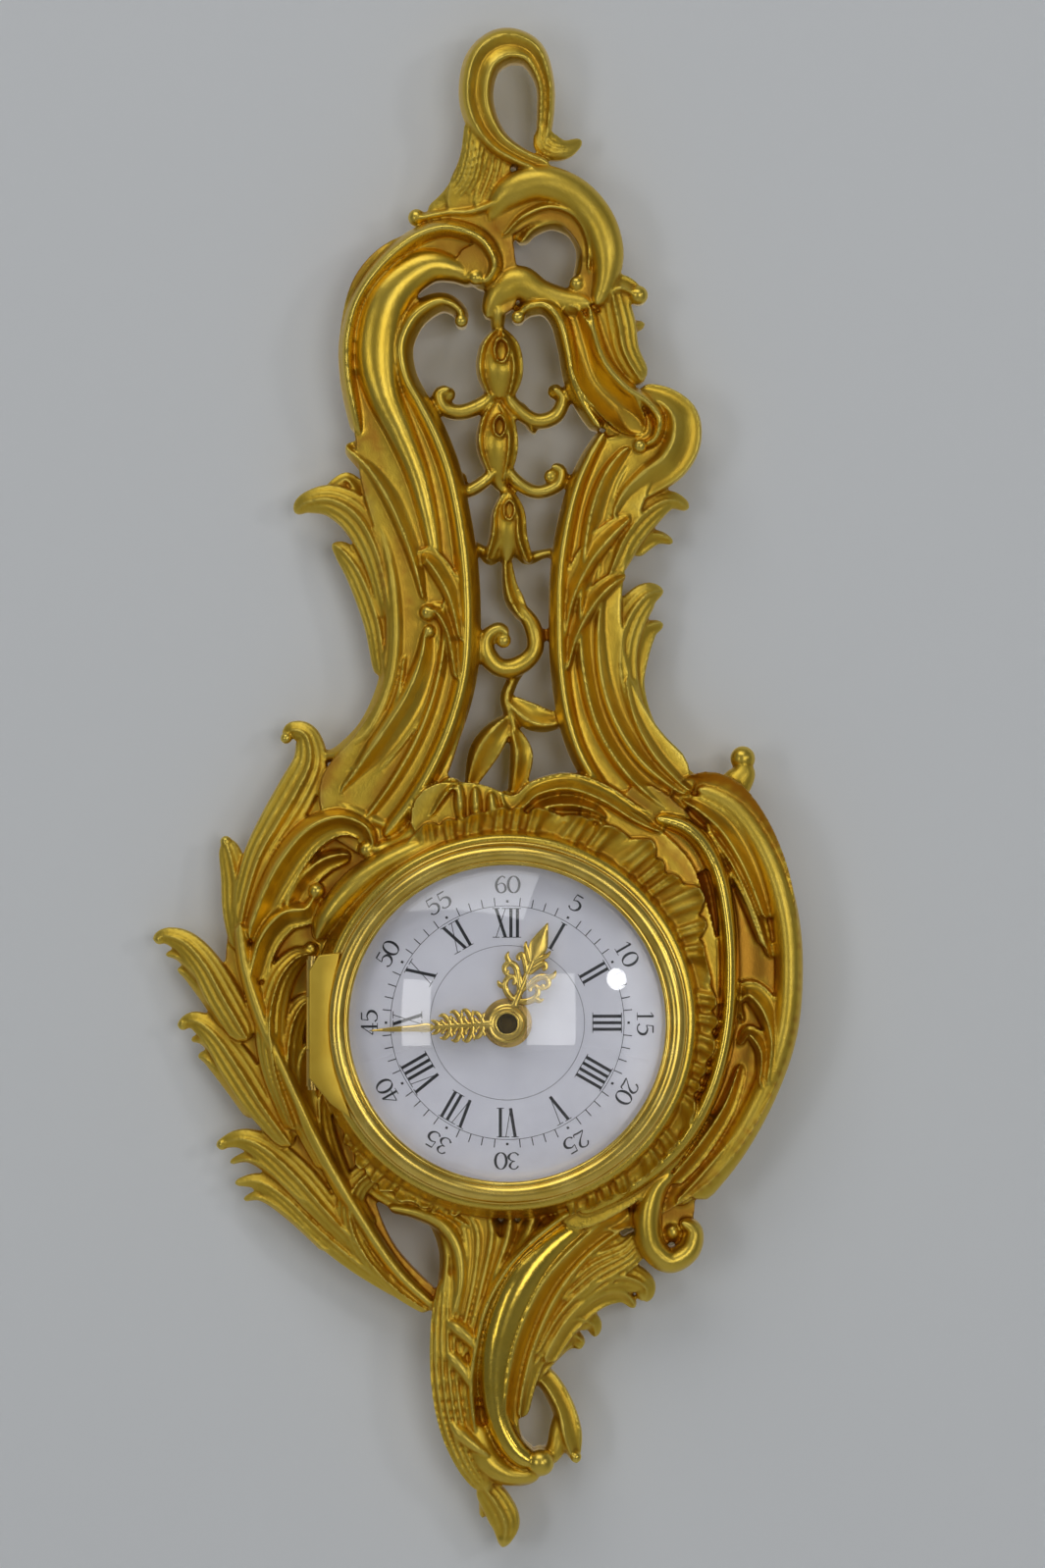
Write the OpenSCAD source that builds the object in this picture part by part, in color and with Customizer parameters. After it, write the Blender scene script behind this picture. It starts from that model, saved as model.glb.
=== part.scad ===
// Gilt bronze cartel clock: an openwork rococo wall case with a hinged, domed bezel
// over an enamel dial, and a battery movement in a drum behind it.
//
// Everything is drawn from the front: x to the right, y up, z towards the viewer, with the
// dial axis at x = y = 0 and the wall at z = 0. seat() then turns the drawing upright.
// The ornament is traced on a grid of drawing units that covers the case's height.

/* [Case] */
// Height of the case, from the crest to the leaf tip below
case_h = 414; // [400:1:430]
// Distance from the wall to the back of the castings
casting_back = 6; // [5:0.5:8]
// Share of the ornament's relief that is cast, 1 being the full depth
relief = 1; // [0.9:0.05:1.1]

/* [Dial and bezel] */
// Diameter of the dial that shows inside the bezel
dial_view_d = 85; // [82:0.5:88]
// Width of the bezel's moulding, seen from the front
bezel_w = 6.5; // [6:0.25:7]
// Height of the bezel above its seat
bezel_h = 7.6; // [7:0.2:9]
// Rise of the domed glass
glass_rise = 11; // [10.5:0.5:13]
// Thickness of the glass
glass_t = 1.5; // [1.2:0.1:2]
// Thickness of the enamel dial at its edge
dial_t = 1.2; // [1:0.1:1.6]
// Rise of the dial's middle above its edge
dial_rise = 1.2; // [0.8:0.1:1.6]
// Reach of the hour hand
hour_hand_len = 29; // [27:0.5:31]
// Reach of the minute hand
minute_hand_len = 37; // [35:0.5:39]
// Thickness of a hand
hand_t = 0.7; // [0.5:0.1:0.9]

/* [Drum and hanging] */
// Distance from the wall to the seat of the bezel
seat_depth = 27.5; // [27:0.5:29]
// Wall of the drum
drum_wall = 0.8; // [0.6:0.1:1.2]
// Diameter of the nail hole in the hanging strap
nail_hole_d = 5; // [4:0.5:6]
// Height of the nail hole above the dial axis
hang_up = 222; // [216:1:226]

/* [Movement] */
// Side of the square movement case
movement_w = 56; // [54:1:58]
// Wall of the movement case
movement_wall = 1.5; // [1.2:0.1:1.8]
// Diameter of the threaded bush that holds the dial
bush_d = 8; // [7.5:0.1:8.4]
// Diameter of the battery cell
battery_d = 14.5; // [14:0.1:14.5]
// Length of the battery cell
battery_len = 50.5; // [49.2:0.1:50.5]

/* [Hidden] */

gold = "#c9992b";
brass = "#c8a951";

// Drawing grid: the case's height in drawing units, and the dial axis on the grid
grid_h = 1558;
grid_axis = [517, 1041];
unit = case_h / grid_h;
function on_grid(p) = [(p[0] - grid_axis[0]) * unit, (grid_axis[1] - p[1]) * unit];

// Running and seating clearances
gap = 0.3;
running = 0.05;
seat_gap = 0.1;

// Sizes that follow from the dial
dial_view_r = dial_view_d / 2;
bezel_r = dial_view_r + bezel_w;
seat_w = 3.4;
case_bore_r = bezel_r - seat_w;
ring_r = case_bore_r - gap;

// Face where the left and lower castings meet the ring of the body
join_land = 4;
join_r = bezel_r + join_land;

// Cutters run past the faces they open by this much
over = 1;

// Curve through the stations of a route, each [across, down, half width, front depth]
function curve_at(a, b, c, d, t) =
    0.5 * (2 * b + (c - a) * t + (2 * a - 5 * b + 4 * c - d) * t * t
        + (3 * b - a - 3 * c + d) * t * t * t);
function smooth(route, n) = let (last = len(route) - 1)
    concat([for (i = [0:last - 1], k = [0:n - 1])
        curve_at(route[max(i - 1, 0)], route[i], route[i + 1], route[min(i + 2, last)], k / n)],
        [route[last]]);
function front_of(depth) = casting_back + (depth - casting_back) * relief;

// Cross-sections of the ornament: across from -1 to 1, and height from 0 to 1
bead = [[-1, 0], [-0.88, 0.72], [-0.4, 1], [0.4, 1], [0.88, 0.72], [1, 0]];
blade = [[-1, 0], [-0.9, 0.72], [-0.3, 1], [0.92, 0.7], [1, 0]];
rib = [[-1, 0], [-1, 0.6], [0, 1], [1, 0.6], [1, 0]];
slab = [[-1, 0], [-1, 1], [1, 1], [1, 0]];

// A band of ornament: one cross-section carried along a route
module band(route, section = bead, steps = 3) {
    line = smooth(route, steps);
    last = len(line) - 1;
    k = len(section);
    points = [for (i = [0:last])
        let (here = line[i],
            middle = on_grid(here),
            ahead = on_grid(line[min(i + 1, last)]) - on_grid(line[max(i - 1, 0)]),
            side = [-ahead[1], ahead[0]] / norm(ahead) * here[2] * unit)
        for (s = section)
            [middle[0] + side[0] * s[0], middle[1] + side[1] * s[0],
                casting_back + (front_of(here[3]) - casting_back) * s[1]]];
    walls = [for (i = [0:last - 1], j = [0:k - 1], half = [0, 1])
        let (a = i * k + j, b = i * k + (j + 1) % k)
        half == 0 ? [a, b, b + k] : [a, b + k, a + k]];
    start_cap = [for (j = [k - 1:-1:0]) j];
    end_cap = [for (j = [0:k - 1]) last * k + j];
    polyhedron(points, concat(walls, [start_cap, end_cap]), convexity = 6);
}

// A domed knob, as at the eye of a scroll
module knob(spot, r, front) {
    top = front_of(front);
    at = on_grid(spot);
    hull() {
        translate([at[0], at[1], casting_back])
            cylinder(h = (top - casting_back) * knob_shoulder, r = r * unit, $fn = 6);
        translate([at[0], at[1], casting_back])
            cylinder(h = top - casting_back, r = r * unit * knob_crown, $fn = 6);
    }
}
knob_shoulder = 0.7;
knob_crown = 0.5;

// Crest: the tall loop, its flare, and the fluted skirt below it
crest_loop = [[552, 148, 7, 13], [556, 112, 9, 15], [555, 80, 10, 17], [541, 51, 15, 19],
    [515, 44, 19, 20], [493, 59, 19, 21], [485, 88, 18, 21], [489, 116, 17, 21],
    [505, 142, 14, 20], [531, 159, 11, 19], [560, 170, 10, 18]];
crest_flare = [[552, 126, 8, 13], [558, 144, 14, 13], [576, 148, 10, 12], [593, 138, 4, 9]];
crest_skirt = [[486, 118, 13, 18], [483, 150, 13, 18], [476, 180, 14, 17], [460, 200, 12, 15],
    [436, 214, 6, 13]];
crest_skirt_side = [[504, 140, 14, 17], [500, 172, 20, 16], [486, 208, 18, 16]];
crest_base = [[492, 126, 14, 15.5], [492, 165, 26, 15.5], [490, 205, 34, 15.5], [506, 250, 18, 15.5],
    [512, 290, 16, 15.5], [508, 318, 14, 15.5]];
crest_cornice = [[424, 221, 6, 15], [455, 215, 7, 16], [480, 214, 8, 17], [505, 205, 8, 18]];
crest_scroll = [[498, 222, 9, 16], [516, 197, 16, 19], [548, 184, 18, 20], [583, 195, 18, 20],
    [608, 222, 18, 20], [619, 255, 17, 20], [617, 285, 13, 19], [608, 310, 9, 18]];
crest_cove = [[508, 232, 14, 16], [534, 212, 16, 16], [566, 206, 17, 16], [592, 222, 17, 16],
    [606, 252, 14, 16], [602, 282, 12, 16], [592, 304, 14, 16]];
crest_comma = [[529, 245, 8, 15], [540, 229, 10, 16], [563, 221, 10, 16], [585, 231, 9, 15],
    [595, 252, 8, 15], [592, 275, 7, 15], [586, 288, 6, 15]];
crest_plate = [[500, 316, 14, 15], [517, 292, 20, 16], [546, 302, 12, 16], [580, 306, 14, 16],
    [604, 312, 12, 15]];

// Upper left scroll: rim, cove floor, polished swell and inner rim
left_rim = [[482, 282, 8, 18], [496, 284, 9, 19], [504, 268, 9, 20], [494, 247, 10, 21],
    [476, 236, 10, 22], [450, 232, 10, 22], [420, 243, 10, 22], [388, 270, 10, 22],
    [364, 305, 9, 22], [354, 343, 9, 22], [354, 380, 9, 21], [360, 414, 9, 20],
    [366, 440, 8, 18]];
left_cove = [[484, 266, 14, 17], [452, 253, 18, 17], [415, 266, 28, 17], [391, 296, 34, 17],
    [378, 338, 32, 17], [380, 380, 34, 17], [396, 425, 38, 17], [412, 480, 46, 17],
    [428, 545, 44, 17], [438, 610, 46, 17], [439, 665, 47, 17], [430, 720, 46, 17],
    [408, 772, 52, 17], [382, 815, 60, 17], [352, 862, 60, 17]];
left_swell = [[483, 286, 7, 17], [463, 273, 13, 19], [438, 269, 18, 20], [413, 282, 21, 20.5],
    [394, 305, 23, 21], [385, 336, 24, 21], [384, 368, 23, 21], [391, 402, 19, 20.5],
    [406, 436, 16, 20], [424, 480, 14, 19.5], [437, 530, 12, 19], [447, 590, 9, 18]];
left_inner_rim = [[472, 328, 7, 18], [467, 314, 8, 19], [451, 306, 10, 20], [432, 313, 12, 20],
    [417, 328, 13, 20], [408, 353, 13, 20], [413, 383, 12, 20], [427, 410, 12, 20],
    [443, 442, 13, 20], [457, 480, 13, 20], [467, 526, 13, 20], [474, 580, 14, 20],
    [476, 640, 14, 20], [472, 690, 14, 20], [459, 738, 14, 20], [441, 780, 14, 20],
    [420, 816, 14, 20], [392, 852, 12, 20]];

// Left side of the neck: ridges and the two leaves that turn outwards
left_ridge = [[352, 452, 8, 17], [378, 472, 14, 19], [400, 504, 16, 20], [416, 540, 15, 20],
    [427, 575, 12, 20], [434, 612, 7, 19]];
left_ridge_low = [[437, 640, 8, 20], [434, 672, 14, 20.5], [422, 708, 18, 21],
    [403, 740, 19, 21], [381, 770, 16, 20.5], [362, 794, 12, 19], [348, 808, 8, 18]];
left_edge = [[372, 505, 8, 16], [391, 548, 11, 17.5], [401, 600, 12, 18.5],
    [403, 655, 13, 18.5], [396, 700, 13, 18.5], [377, 742, 13, 18], [347, 767, 9, 16],
    [328, 770, 5, 13]];
left_leaf = [[299, 521, 5, 11], [311, 511, 11, 14], [338, 509, 17, 16], [366, 528, 20, 17.5],
    [386, 570, 17, 18], [398, 632, 11, 17.5]];
left_leaf_tip = [[334, 497, 6, 13], [352, 485, 6, 13], [366, 500, 9, 14], [376, 520, 9, 15]];
left_leaf_low = [[337, 553, 4, 11], [350, 562, 11, 13], [368, 588, 15, 15], [385, 636, 15, 16],
    [391, 690, 11, 17]];

// Right side of the neck: hooked inner rim, polished cove, outer rim and bell
right_hook = [[528, 323, 7, 16], [537, 312, 9, 18], [556, 310, 10, 19], [570, 325, 10, 20],
    [578, 353, 10, 20], [584, 385, 10, 20], [596, 412, 10, 20], [612, 436, 9, 19]];
right_cove = [[562, 298, 12, 16.5], [586, 316, 20, 16.5], [596, 350, 22, 16.5], [608, 385, 24, 16.5],
    [630, 414, 24, 16.5], [648, 445, 26, 16.5], [628, 490, 34, 16.5], [606, 545, 38, 16.5],
    [597, 610, 37, 16.5], [602, 680, 38, 16.5], [620, 735, 46, 16.5], [650, 785, 56, 16.5],
    [690, 830, 60, 16.5]];
right_rim = [[601, 312, 7, 18], [607, 345, 8, 20], [618, 372, 8, 21], [638, 395, 8, 21],
    [660, 410, 8, 21], [672, 427, 8, 21], [668, 446, 7, 20], [653, 455, 6, 19]];
right_bell = [[622, 288, 14, 18], [630, 325, 18, 17.5], [637, 358, 16, 17], [654, 388, 14, 17]];
right_bell_top = [[612, 300, 10, 17], [632, 288, 11, 18], [652, 298, 8, 16]];
right_bell_lip = [[636, 332, 9, 14], [658, 327, 4, 11]];
right_lobe = [[652, 397, 10, 16], [678, 406, 14, 18], [694, 424, 19, 19.5],
    [694, 449, 21, 19.5], [682, 471, 20, 19.5], [660, 487, 18, 19], [640, 505, 14, 18.5],
    [627, 528, 10, 18]];
right_inner_rim = [[616, 440, 7, 19], [600, 467, 9, 20], [587, 499, 10, 20], [577, 541, 11, 20],
    [571, 586, 11, 20], [570, 635, 11, 20], [572, 685, 11, 20], [580, 735, 11, 20],
    [595, 776, 11, 20], [620, 812, 10, 20], [652, 838, 8, 20]];
right_ridge = [[642, 456, 9, 19], [622, 483, 12, 20], [608, 522, 14, 20], [600, 570, 13, 20],
    [596, 625, 12, 20], [599, 680, 13, 20], [612, 735, 13, 20], [638, 780, 13, 20],
    [672, 814, 11, 20], [700, 834, 8, 20]];
right_ridge_low = [[618, 600, 6, 18], [614, 640, 11, 19], [618, 690, 13, 19.5],
    [633, 735, 14, 19.5], [660, 775, 14, 19.5], [700, 808, 11, 19]];
right_leaf = [[703, 516, 5, 11], [684, 508, 10, 14], [660, 520, 17, 16], [638, 546, 18, 18],
    [622, 584, 13, 18.5]];
right_leaf_barb = [[687, 551, 3, 10], [668, 546, 8, 12], [644, 562, 10, 14]];
right_leaf_low = [[677, 601, 4, 11], [659, 607, 11, 14], [641, 632, 16, 16], [634, 668, 16, 17],
    [640, 712, 15, 17.5], [658, 752, 14, 17.5], [694, 792, 11, 17]];
right_barb_low = [[677, 635, 3, 10], [661, 642, 8, 12], [651, 668, 10, 14], [649, 702, 10, 15],
    [664, 746, 10, 15], [704, 790, 8, 15], [742, 808, 6, 14]];

// Husk chain down the middle of the neck, with its arms and the sprig below
husks = [[[507, 300, 6, 15], [507, 318, 8, 16], [507, 338, 6, 13]],
    [[508, 332, 7, 13], [508, 351, 16, 16], [509, 376, 18, 17], [509, 404, 11, 14]],
    [[507, 400, 5, 12], [506, 428, 13, 15], [506, 455, 16, 16], [511, 500, 6, 12]],
    [[515, 494, 5, 12], [518, 515, 12, 15], [518, 540, 14, 15], [516, 572, 6, 12]]];
husk_arms = [[[507, 394, 6, 13], [491, 412, 6, 13], [468, 418, 6, 13], [454, 410, 6, 13],
        [440, 416, 6, 14]],
    [[513, 394, 6, 13], [527, 415, 7, 13], [547, 423, 6, 13], [564, 414, 6, 13],
        [578, 396, 5, 13]],
    [[505, 484, 6, 13], [491, 500, 6, 13], [474, 498, 6, 13], [460, 486, 6, 13]],
    [[514, 484, 6, 13], [530, 500, 6, 13], [548, 500, 6, 13], [564, 489, 5, 13],
        [584, 492, 5, 13]],
    [[512, 556, 5, 12], [500, 568, 7, 12], [488, 557, 5, 12], [472, 552, 5, 12]],
    [[524, 553, 5, 12], [536, 567, 7, 12], [554, 563, 5, 12], [572, 560, 5, 12]]];
husk_stem = [[516, 566, 5, 12], [519, 594, 8, 14], [525, 612, 10, 15], [536, 632, 6, 14]];
husk_curl = [[524, 612, 6, 13], [542, 636, 8, 14], [545, 661, 8, 15], [530, 677, 9, 15],
    [510, 680, 9, 15], [496, 666, 9, 16], [496, 649, 7, 16], [508, 640, 6, 16],
    [518, 646, 4, 16]];
husk_ties = [[[476, 654, 6, 11], [500, 656, 6, 11]], [[540, 646, 6, 11], [570, 646, 6, 11]]];
sprig = [
    [[538, 672, 5, 12], [523, 692, 6, 12], [516, 712, 7, 13], [522, 734, 6, 13],
        [528, 755, 6, 12]],
    [[517, 712, 7, 13], [540, 729, 14, 15], [562, 734, 11, 14], [584, 727, 3, 12]],
    [[520, 730, 6, 13], [505, 748, 14, 15], [491, 770, 15, 14], [478, 802, 6, 12]],
    [[523, 742, 5, 13], [531, 766, 12, 15], [529, 790, 11, 14], [523, 826, 7, 12]]];

// Shell border round the top and right of the dial, with the leaf band over it
shell_rim = [[500, 800, 10, 18], [506, 822, 10, 20], [522, 822, 11, 22], [545, 808, 12, 23],
    [580, 803, 13, 23], [615, 814, 13, 23], [648, 832, 12, 22], [676, 846, 9, 22]];
shell_leaf = [[660, 812, 12, 17], [625, 818, 13, 19], [600, 834, 13, 21], [580, 846, 9, 20]];
shell_left = [[436, 830, 9, 19], [462, 806, 11, 20], [490, 806, 11, 20], [502, 828, 8, 20]];

// Right C-scroll: inner rim, floor, outer swell, its leaves and both volutes
c_inner_rim = [[664, 836, 7, 21], [695, 850, 7, 23], [720, 887, 7, 24], [736, 936, 7, 24.5],
    [742, 990, 7, 24.5], [738, 1050, 7, 24.5], [719, 1107, 7, 24.5], [686, 1152, 7, 24],
    [642, 1190, 7, 23], [588, 1224, 7, 22]];
c_floor = [[690, 800, 34, 17], [728, 836, 46, 17], [758, 900, 48, 17], [768, 980, 47, 17],
    [760, 1055, 46, 17], [733, 1120, 46, 17], [692, 1172, 46, 17], [645, 1206, 42, 17],
    [590, 1236, 34, 17]];
c_swell = [[712, 804, 13, 17], [750, 828, 17, 19], [778, 872, 18, 20.5], [795, 930, 18, 21.5],
    [799, 990, 18, 21.5], [792, 1055, 18, 21], [769, 1118, 18, 20], [737, 1175, 16, 19],
    [702, 1220, 14, 18]];
c_fold = [[694, 838, 9, 20], [728, 850, 14, 21], [757, 880, 13, 21], [778, 926, 8, 20]];
c_fold_mid = [[733, 880, 6, 20], [752, 905, 9, 20.5], [766, 940, 6, 20], [772, 975, 3, 19]];
c_fold_low = [[744, 1012, 9, 20], [768, 1030, 15, 22], [786, 1062, 12, 21], [784, 1100, 7, 20]];
c_shoulder = [[744, 1090, 7, 19], [726, 1146, 11, 21], [700, 1190, 13, 21], [668, 1228, 11, 20]];
c_volute = [[706, 1188, 9, 20], [676, 1202, 11, 21], [662, 1228, 12, 21], [662, 1256, 13, 20],
    [676, 1281, 12, 18], [697, 1277, 11, 17], [703, 1258, 8, 16]];
c_volute_floor = [[690, 1200, 20, 15], [684, 1240, 26, 15], [686, 1272, 20, 15]];
c_top_volute = [[716, 812, 12, 17], [742, 807, 17, 17], [757, 790, 14, 16], [758, 776, 11, 15]];

// Left acanthus spray: midrib, outer leaves from the top down, inner leaflets
spray_midrib = [[452, 1340, 5, 16], [412, 1293, 7, 18], [370, 1236, 8, 20], [330, 1172, 9, 21],
    [296, 1106, 9, 21.5], [268, 1042, 9, 21.5], [250, 985, 8, 21], [244, 942, 7, 19]];
spray_floor = [[446, 1328, 8, 13], [396, 1272, 14, 14], [352, 1206, 36, 15],
    [322, 1146, 52, 15], [298, 1080, 58, 15], [284, 1010, 56, 15], [290, 940, 56, 15],
    [322, 880, 54, 15], [366, 844, 50, 15], [424, 836, 40, 15]];
spray_web = [[372, 1196, 22, 15.5], [412, 1222, 22, 16], [450, 1246, 24, 16.5]];
spray_top = [[288, 754, 4, 10], [296, 744, 9, 12], [311, 750, 13, 13.5], [315, 776, 18, 15.5],
    [302, 806, 21, 16.5], [282, 840, 20, 17.5], [264, 872, 17, 18], [251, 912, 14, 18],
    [243, 952, 11, 18]];
spray_leaves = [
    [[225, 856, 4, 10], [231, 866, 11, 12], [238, 895, 15, 14.5], [240, 930, 15, 16.5],
        [246, 970, 12, 17.5]],
    [[153, 959, 4, 9], [168, 955, 9, 11], [188, 963, 13, 13], [208, 985, 16, 15.5],
        [227, 1018, 18, 17.5], [252, 1060, 15, 19]],
    [[178, 989, 3, 9], [194, 996, 9, 11], [216, 1020, 12, 14], [236, 1050, 12, 16]],
    [[179, 1047, 4, 9], [196, 1042, 10, 11.5], [217, 1056, 15, 14], [242, 1090, 19, 16.5],
        [268, 1130, 17, 18.5], [296, 1168, 11, 19]],
    [[199, 1078, 3, 9], [214, 1082, 9, 11.5], [240, 1108, 13, 14], [262, 1140, 12, 16]],
    [[218, 1171, 4, 9], [242, 1163, 10, 12], [268, 1172, 15, 14.5], [300, 1200, 18, 16.5],
        [336, 1240, 15, 18], [372, 1278, 10, 18]],
    [[237, 1209, 3, 9], [262, 1207, 9, 11], [290, 1223, 13, 13.5], [325, 1256, 14, 15.5],
        [366, 1290, 12, 16.5], [412, 1322, 8, 16]],
    [[314, 1264, 3, 9], [336, 1267, 7, 11], [370, 1291, 9, 13]]];
spray_leaflets = [
    [[318, 972, 5, 17], [300, 978, 11, 19], [283, 1002, 15, 21], [275, 1042, 16, 22],
        [280, 1092, 14, 22], [300, 1152, 10, 21]],
    [[322, 1018, 5, 16], [307, 1026, 11, 18], [296, 1052, 14, 20], [294, 1092, 13, 21],
        [306, 1142, 10, 21], [330, 1192, 7, 20]],
    [[325, 1062, 5, 15], [314, 1070, 9, 17.5], [309, 1096, 12, 19], [316, 1138, 11, 20],
        [337, 1187, 8, 20]],
    [[404, 1200, 8, 17], [384, 1194, 12, 18.5], [363, 1210, 15, 19.5], [360, 1240, 14, 19.5],
        [378, 1276, 12, 18.5], [412, 1312, 9, 17.5], [440, 1332, 6, 16]],
    [[332, 1104, 6, 15], [325, 1124, 11, 17.5], [329, 1160, 13, 19], [347, 1206, 12, 20],
        [378, 1256, 9, 19]]];
spray_lobe = [[378, 866, 9, 20], [370, 846, 12, 22], [346, 838, 15, 23], [318, 850, 17, 23],
    [294, 878, 18, 23], [274, 914, 16, 22.5], [256, 958, 12, 21]];
spray_lobe_low = [[356, 872, 7, 17], [330, 880, 11, 18], [308, 900, 12, 19],
    [292, 930, 11, 19]];
spray_hook = [[324, 912, 8, 20.5], [314, 930, 12, 21], [290, 936, 15, 21.5],
    [270, 960, 15, 21.5], [258, 1000, 12, 21]];
spray_shoulder = [[330, 812, 9, 16], [360, 826, 10, 18], [396, 842, 10, 18], [430, 846, 9, 18]];

// Tail: the S-scroll below the dial, its leaves, the twig and the leaf tip
tail_floor = [[604, 1234, 46, 16], [562, 1278, 46, 16], [514, 1340, 44, 16],
    [492, 1400, 38, 16], [488, 1450, 34, 16], [500, 1488, 24, 16], [526, 1503, 14, 16],
    [548, 1503, 10, 16]];
tail_web = [[440, 1246, 22, 16], [474, 1262, 24, 17], [488, 1300, 24, 18], [478, 1348, 20, 17]];
tail_rib = [[530, 1236, 20, 18], [506, 1258, 18, 19], [484, 1296, 13, 20], [468, 1350, 10, 20],
    [464, 1410, 8, 20]];
tail_rim = [[624, 1212, 7, 21], [572, 1241, 8, 23], [527, 1280, 8, 23.5], [499, 1324, 8, 23.5],
    [486, 1368, 8, 22.5], [480, 1412, 8, 21.5], [484, 1460, 7, 20]];
tail_swell = [[604, 1240, 12, 20], [562, 1270, 18, 22], [530, 1308, 21, 24],
    [511, 1354, 20, 24], [504, 1400, 17, 23], [508, 1446, 14, 22], [524, 1478, 13, 22],
    [544, 1492, 12, 22]];
tail_right = [[650, 1228, 14, 18], [608, 1268, 20, 20], [572, 1314, 22, 22],
    [543, 1362, 19, 22], [527, 1412, 13, 21]];
tail_left = [[457, 1300, 9, 18], [455, 1345, 16, 19], [456, 1400, 18, 19.5],
    [463, 1450, 18, 19.5], [478, 1490, 16, 18.5], [498, 1520, 12, 16]];
tail_leaves = [
    [[661, 1331, 4, 12], [655, 1312, 11, 15], [627, 1303, 15, 17.5], [597, 1315, 18, 19.5],
        [564, 1350, 15, 20.5]],
    [[609, 1354, 4, 12], [596, 1347, 11, 15], [572, 1356, 15, 17.5], [546, 1388, 12, 19]],
    [[593, 1374, 3, 11], [574, 1374, 8, 14], [550, 1396, 9, 16]]];
tail_fan = [[654, 1258, 11, 16], [640, 1278, 16, 17.5], [606, 1296, 20, 19],
    [574, 1324, 16, 19]];
tail_tip = [[490, 1514, 12, 17], [506, 1536, 16, 16], [515, 1558, 15, 15], [512, 1582, 4, 12]];
tail_barb = [[494, 1522, 7, 13], [491, 1552, 3, 11]];
tail_twig = [[538, 1396, 9, 16], [558, 1410, 11, 16], [574, 1438, 12, 16.5],
    [581, 1468, 13, 16.5], [588, 1495, 3, 13.5]];

// Lines where the castings are brazed to one another, on the drawing grid
neck_joint = [[331, 806], [392, 850], [440, 822], [470, 808], [520, 824], [560, 808], [610, 814],
    [655, 838], [700, 812], [728, 780], [760, 740]];
spray_joint_x = 447;
spray_top_x = 331;
spray_top_y = 640;
spray_foot_y = 1340;
tail_joint_y = 1236;
volute_eye = [686, 1258];
volute_clear_r = 44;
grid_margin = 60;
grid_w = 1065;

// Part of the drawing between two corners
module field(x0, y0, x1, y1) {
    a = on_grid([x0, y1]);
    b = on_grid([x1, y0]);
    translate(a) square(b - a);
}
module upper_field() polygon([for (p = concat(neck_joint, [[grid_w, 740], [grid_w, -grid_margin],
    [0, -grid_margin], [0, spray_top_y], [spray_top_x, spray_top_y]])) on_grid(p)]);
module volute_field() translate(on_grid(volute_eye)) circle(r = volute_clear_r * unit, $fn = 24);
module spray_field() difference() {
    field(0, spray_top_y, spray_joint_x, spray_foot_y);
    upper_field();
    circle(r = join_r, $fn = 60);
}
module tail_field() difference() {
    union() {
        field(spray_joint_x, tail_joint_y, grid_w, grid_h + grid_margin);
        field(0, spray_foot_y, grid_w, grid_h + grid_margin);
    }
    circle(r = join_r, $fn = 60);
    volute_field();
}
module body_field() difference() {
    union() {
        field(spray_joint_x, spray_top_y, grid_w, tail_joint_y);
        volute_field();
    }
    upper_field();
}

// Room in every casting for the drum, the bezel above its seat, and the screws from behind
module casting_cuts() {
    cylinder(h = casting_top, r = case_bore_r, $fn = 60);
    translate([0, 0, seat_depth])
        cylinder(h = casting_top, r = bezel_r + gap + seat_gap, $fn = 60);
    hinge_pocket();
    for (a = drum_screw_angles)
        rotate(a) translate([drum_ear_r, 0, 0])
            cylinder(h = casting_back + drum_screw_grip + gap, r = screw_hole_r, $fn = 16);
    for (s = [-1, 1])
        translate([s * strap_screw_x, hang_up, 0])
            cylinder(h = casting_back + strap_screw_grip + gap, r = screw_hole_r, $fn = 16);
}
casting_top = 40;

module upper_casting() color(gold) intersection() {
    linear_extrude(casting_top) upper_field();
    difference() {
        union() {
            for (r = [left_cove, right_cove, crest_plate, crest_base, crest_cove]) band(r, slab, 1);
            for (r = [crest_loop, crest_scroll, left_swell, right_lobe]) band(r, bead, 2);
            for (r = [left_leaf, right_leaf]) band(r, blade, 2);
            for (r = [crest_skirt, crest_flare, crest_comma, crest_skirt_side, right_bell,
                    right_bell_top, left_leaf_tip, left_leaf_low, right_leaf_low]) band(r, blade, 1);
            for (r = [left_rim, right_hook, right_rim]) band(r, rib, 2);
            for (r = [left_inner_rim, right_inner_rim, crest_cornice, left_ridge, left_ridge_low,
                    left_edge, right_bell_lip, right_ridge, right_ridge_low, right_leaf_barb,
                    right_barb_low]) band(r, rib, 1);
            for (r = husks) band(r, bead, 1);
            for (r = concat(husk_arms, [husk_stem])) band(r, rib, 1);
            band(husk_curl, rib, 2);
            for (r = husk_ties) band(r, slab, 1);
            for (r = sprig) band(r, rib, 1);
            for (k = upper_knobs) knob([k[0], k[1]], k[2], k[3]);
        }
        casting_cuts();
    }
}
// Eyes of the scrolls and pearls, each [across, down, radius, front depth]
upper_knobs = [[424, 219, 9, 15], [485, 282, 8, 19], [588, 287, 8, 17], [651, 299, 10, 17],
    [470, 326, 7, 19], [456, 400, 8, 14], [566, 397, 8, 14], [468, 487, 8, 14],
    [562, 484, 8, 14], [528, 322, 7, 18], [652, 454, 7, 21], [436, 624, 8, 20],
    [437, 643, 6, 20], [513, 652, 8, 16]];

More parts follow.
